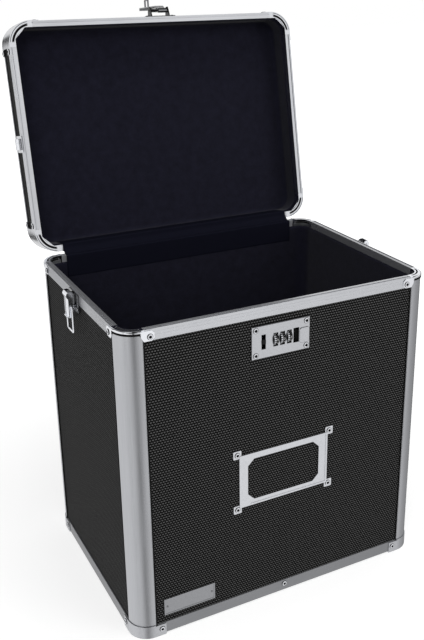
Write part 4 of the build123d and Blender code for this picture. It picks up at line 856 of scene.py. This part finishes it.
dress("hasp_spring", reflection_dark_nickel, 0)
dress("lock_plate", lock_chrome, 0.3 * MM, 3)
dress("lock_body", housing_black, 0.2 * MM)
dress("lock_bolt", nickel, 0.1 * MM)
dress("dial_shaft", nickel, 0.1 * MM)
dress("release_slider", slider_black, 0.2 * MM)
dress("label_holder", holder_zinc, 0.2 * MM)
dress("name_plate", plate_nickel, 0.2 * MM)
for number, centre in enumerate(DIAL_CENTRES, 1):
    number_dial(number, centre)
    dial_numbers(number, centre)

wall_felt(navy_felt)
floor_felt(navy_felt)
lid_felt(navy_felt)
hinge_strip(tape)

# rivets and screws: spots in millimetres, each with its outward direction
HEAD_OUT = 0.8                         # a corner piece's face, out from the case's side
RIVET, SMALL_RIVET, SCREW = 3.0 * MM, 1.9 * MM, 3.0 * MM
RIVET_HEIGHT, SMALL_HEIGHT, SCREW_HEIGHT = 0.9 * MM, 0.85 * MM, 0.85 * MM
SIDES = (-1, 1)
FRONT = (0, -1, 0)
ear_spots = corner_spots(27.7, HEAD_OUT, (323.5,))
foot_spots = corner_spots(27.0, HEAD_OUT, (7.7,))
rail_spots = [((0, side * 121.5, 9.1), (0, side, 0)) for side in SIDES]
holder_spots = [((x, -121.15, z), FRONT) for x in (-54.5, 51.3) for z in (117.5, 179.5)]
latch_spots = [((side * 168.5, y, 314.5), (side, 0, 0)) for side in SIDES for y in (-7.0, 15.0)]
heads("case_rivet_heads", ear_spots + foot_spots + rail_spots + holder_spots, RIVET, tubular(RIVET_HEIGHT),
      rivets, BODY_OF["case_rivets"], ["case_rivets"])
heads("latch_rivet_heads", latch_spots, SMALL_RIVET, tubular(SMALL_HEIGHT), rivets, BODY_OF["case_rivets"])
lid_spots = corner_spots(29.8, HEAD_OUT, (336.7, 360.4))
hasp_spots = [((x, -122.5, z), FRONT) for x in (-9.75, 19.85) for z in (337.0, 346.0)]
keeper_spots = [((side * 168.4, 4.0, 350.5), (side, 0, 0)) for side in SIDES]
heads("lid_rivet_heads", lid_spots, RIVET, tubular(RIVET_HEIGHT), rivets, BODY_OF["lid_rivets"],
      ["lid_rivets"], swing=True)
heads("hasp_rivet_heads", hasp_spots + keeper_spots, SMALL_RIVET, tubular(SMALL_HEIGHT), rivets,
      BODY_OF["lid_rivets"], swing=True)
screw_spots = [((x, -122.4, z), FRONT) for x in (-34.55, 20.95) for z in (281.8, 307.6)]
heads("lock_screw_heads", screw_spots, SCREW, cross_head(SCREW, SCREW_HEIGHT), rivets, BODY_OF["lock_screws"],
      ["lock_screws"], spokes=64, rings=20)


# ---- studio ----
FLOOR_HALF = 6.0
WHITE = (1.0, 1.0, 1.0, 1.0)
CEILING_FADE = (0.35, 0.80, 1.0, 0.12)     # heights of a direction over which the wall turns into dim ceiling
UPPER_WALL = (0.10, 0.22)                  # between these heights the lower wall gives way to the upper
# What metal sees of the room: bearing in degrees from +X, then brightness. The dark gaps are the unlit corners
# between the soft boxes, and the unlit end is behind the case and to its right.
LOWER_ROOM = ((-180, 1.0), (-161, 1.0), (-160.5, 0.1), (-158.5, 0.1), (-158, 1.0), (-138, 0.95), (-128, 0.62),
              (-118, 0.52), (-113.5, 0.05), (-109, 0.05), (-105, 0.5), (-97, 0.6), (-84, 0.75), (-72, 1.0),
              (-55, 0.95), (-40, 0.65), (-15, 0.5), (15, 0.42), (32, 0.08), (74, 0.08), (80, 0.8), (94, 0.8),
              (96, 0.04), (102, 0.04), (104, 0.95), (180, 1.0))
UPPER_ROOM = ((-180, 1.0), (-150, 1.0), (-142, 0.05), (-95, 0.05), (-84, 1.0), (112, 1.0), (118, 0.05),
              (134, 0.05), (140, 1.0), (180, 1.0))
# a round soft box overhead: its bearing and height, and the cosines of its outer and inner edge
SOFT_BOX = (math.radians(208), math.radians(62), math.cos(math.radians(15)), math.cos(math.radians(11)))
SOFT_LIGHT = 0.38                          # the room's light on what isn't metal
FLOOR_LEVEL = 0.55
FLOOR_LIFT = (0.25, 1.6, 0.66, 1.05)       # the floor brightens to the camera from the case outwards


def ranged(tree, value, settings, smooth=False):
    """A Map Range node: from low and high, to low and high."""
    made = tree.nodes.new("ShaderNodeMapRange")
    if smooth:
        made.interpolation_type = "SMOOTHSTEP"
    for socket, number in zip(("From Min", "From Max", "To Min", "To Max"), settings):
        made.inputs[socket].default_value = number
    tree.links.new(value, made.inputs["Value"])
    return made.outputs[0]


def combined(tree, operation, first, second):
    """A Math node of two sockets, or of a socket and a number."""
    made = tree.nodes.new("ShaderNodeMath")
    made.operation = operation
    for value, socket in zip((first, second), made.inputs):
        if isinstance(value, bpy.types.NodeSocket):
            tree.links.new(value, socket)
        else:
            socket.default_value = value
    return made.outputs[0]


def brightness_round(tree, bearing, stops):
    """A ramp of brightness by bearing, all the way round."""
    ramp = tree.nodes.new("ShaderNodeValToRGB")
    elements = ramp.color_ramp.elements
    while len(elements) < len(stops):
        elements.new(0.5)
    for element, (degrees, _) in zip(elements, stops):
        element.position = degrees / 360.0 + 0.5
    for element, (_, brightness) in zip(elements, stops):
        element.color = (brightness, brightness, brightness, 1.0)
    tree.links.new(bearing, ramp.inputs[0])
    return ramp.outputs[0]


def studio_world():
    """The room that metal reflects: white walls with dark gaps and an unlit end, a dim ceiling and a soft box in it.
    What isn't seen or reflected gets soft grey light, and the camera sees plain white."""
    world = bpy.data.worlds.new("studio_world")
    bpy.context.scene.world = world
    world.use_nodes = True
    tree = world.node_tree
    background = tree.nodes["Background"]
    path = tree.nodes.new("ShaderNodeLightPath")
    place = tree.nodes.new("ShaderNodeTexCoord")
    split = tree.nodes.new("ShaderNodeSeparateXYZ")
    tree.links.new(place.outputs["Generated"], split.inputs[0])
    x, y, z = split.outputs
    bearing = combined(tree, "ADD", combined(tree, "DIVIDE", combined(tree, "ARCTAN2", y, x), 2 * math.pi), 0.5)
    above = ranged(tree, z, (*UPPER_WALL, 0.0, 1.0), True)
    below = combined(tree, "SUBTRACT", 1.0, above)
    wall = combined(tree, "ADD", combined(tree, "MULTIPLY", brightness_round(tree, bearing, LOWER_ROOM), below),
                    combined(tree, "MULTIPLY", brightness_round(tree, bearing, UPPER_ROOM), above))
    room = combined(tree, "MULTIPLY", ranged(tree, z, CEILING_FADE, True), wall)
    turn, lift, edge, inside = SOFT_BOX
    aim = (math.cos(turn) * math.cos(lift), math.sin(turn) * math.cos(lift), math.sin(lift))
    near = combined(tree, "MULTIPLY", x, aim[0])
    for part, weight in ((y, aim[1]), (z, aim[2])):
        near = combined(tree, "ADD", near, combined(tree, "MULTIPLY", part, weight))
    room = combined(tree, "MAXIMUM", room, ranged(tree, near, (edge, inside, 0.0, 1.0), True))
    reflected = combined(tree, "MAXIMUM", path.outputs["Is Glossy Ray"], path.outputs["Is Transmission Ray"])
    strength = tree.nodes.new("ShaderNodeMix")
    tree.links.new(reflected, strength.inputs[0])
    strength.inputs[2].default_value = SOFT_LIGHT
    tree.links.new(room, strength.inputs[3])
    shown = combined(tree, "MAXIMUM", strength.outputs[0], path.outputs["Is Camera Ray"])
    background.inputs["Color"].default_value = WHITE
    tree.links.new(shown, background.inputs["Strength"])


def studio_floor():
    """A plain pale floor that melts into the white background and keeps the case's shadow; metal reflects the white
    room in its place."""
    corners = np.array([[-1, -1, 0], [1, -1, 0], [1, 1, 0], [-1, 1, 0]]) * FLOOR_HALF
    mesh = bpy.data.meshes.new("floor")
    mesh.from_pydata(corners.tolist(), [], [[0, 1, 2, 3]])
    f = Finish("pale_floor")
    f.set(Base_Color=grey(FLOOR_LEVEL), Roughness=0.9, Specular_IOR_Level=0.0, Emission_Color=WHITE)
    path = f.node("ShaderNodeLightPath")
    away = f.node("ShaderNodeVectorMath", {"operation": "LENGTH"})
    f.tree.links.new(f.place(), away.inputs[0])
    lift = f.span(away.outputs["Value"], *FLOOR_LIFT)
    f.set(Emission_Strength=f.sum("MULTIPLY", path.outputs["Is Camera Ray"], lift))
    mesh.materials.append(f.material)
    floor = bpy.data.objects.new("floor", mesh)
    floor.visible_glossy = False
    bpy.context.collection.objects.link(floor)


def studio_light(name, place, size, watts, aim=(0, 0, 0.25)):
    """A round soft lamp, turned to its aim: its axes are columns from cross products. Metal doesn't mirror it."""
    data = bpy.data.lights.new(name, "AREA")
    data.shape, data.size, data.energy = "DISK", size, watts
    lamp = bpy.data.objects.new(name, data)
    lamp.visible_glossy = False
    bpy.context.collection.objects.link(lamp)
    back = np.array(place) - np.array(aim)
    back = back / np.linalg.norm(back)
    right = np.cross([0.0, 0.0, 1.0], back)
    right = right / np.linalg.norm(right)
    matrix = np.eye(4)
    matrix[:3, 0], matrix[:3, 1], matrix[:3, 2], matrix[:3, 3] = right, np.cross(back, right), back, place
    lamp.matrix_world = Matrix(matrix.tolist())


place_camera()
studio_world()
studio_floor()
studio_light("key", (-1.3, -1.8, 1.6), 1.0, 16.0)
studio_light("fill", (1.4, -1.9, 1.1), 1.4, 12.0)
studio_light("top", (0.2, -0.3, 2.4), 1.2, 12.0)
bpy.context.scene.view_settings.view_transform = "Standard"
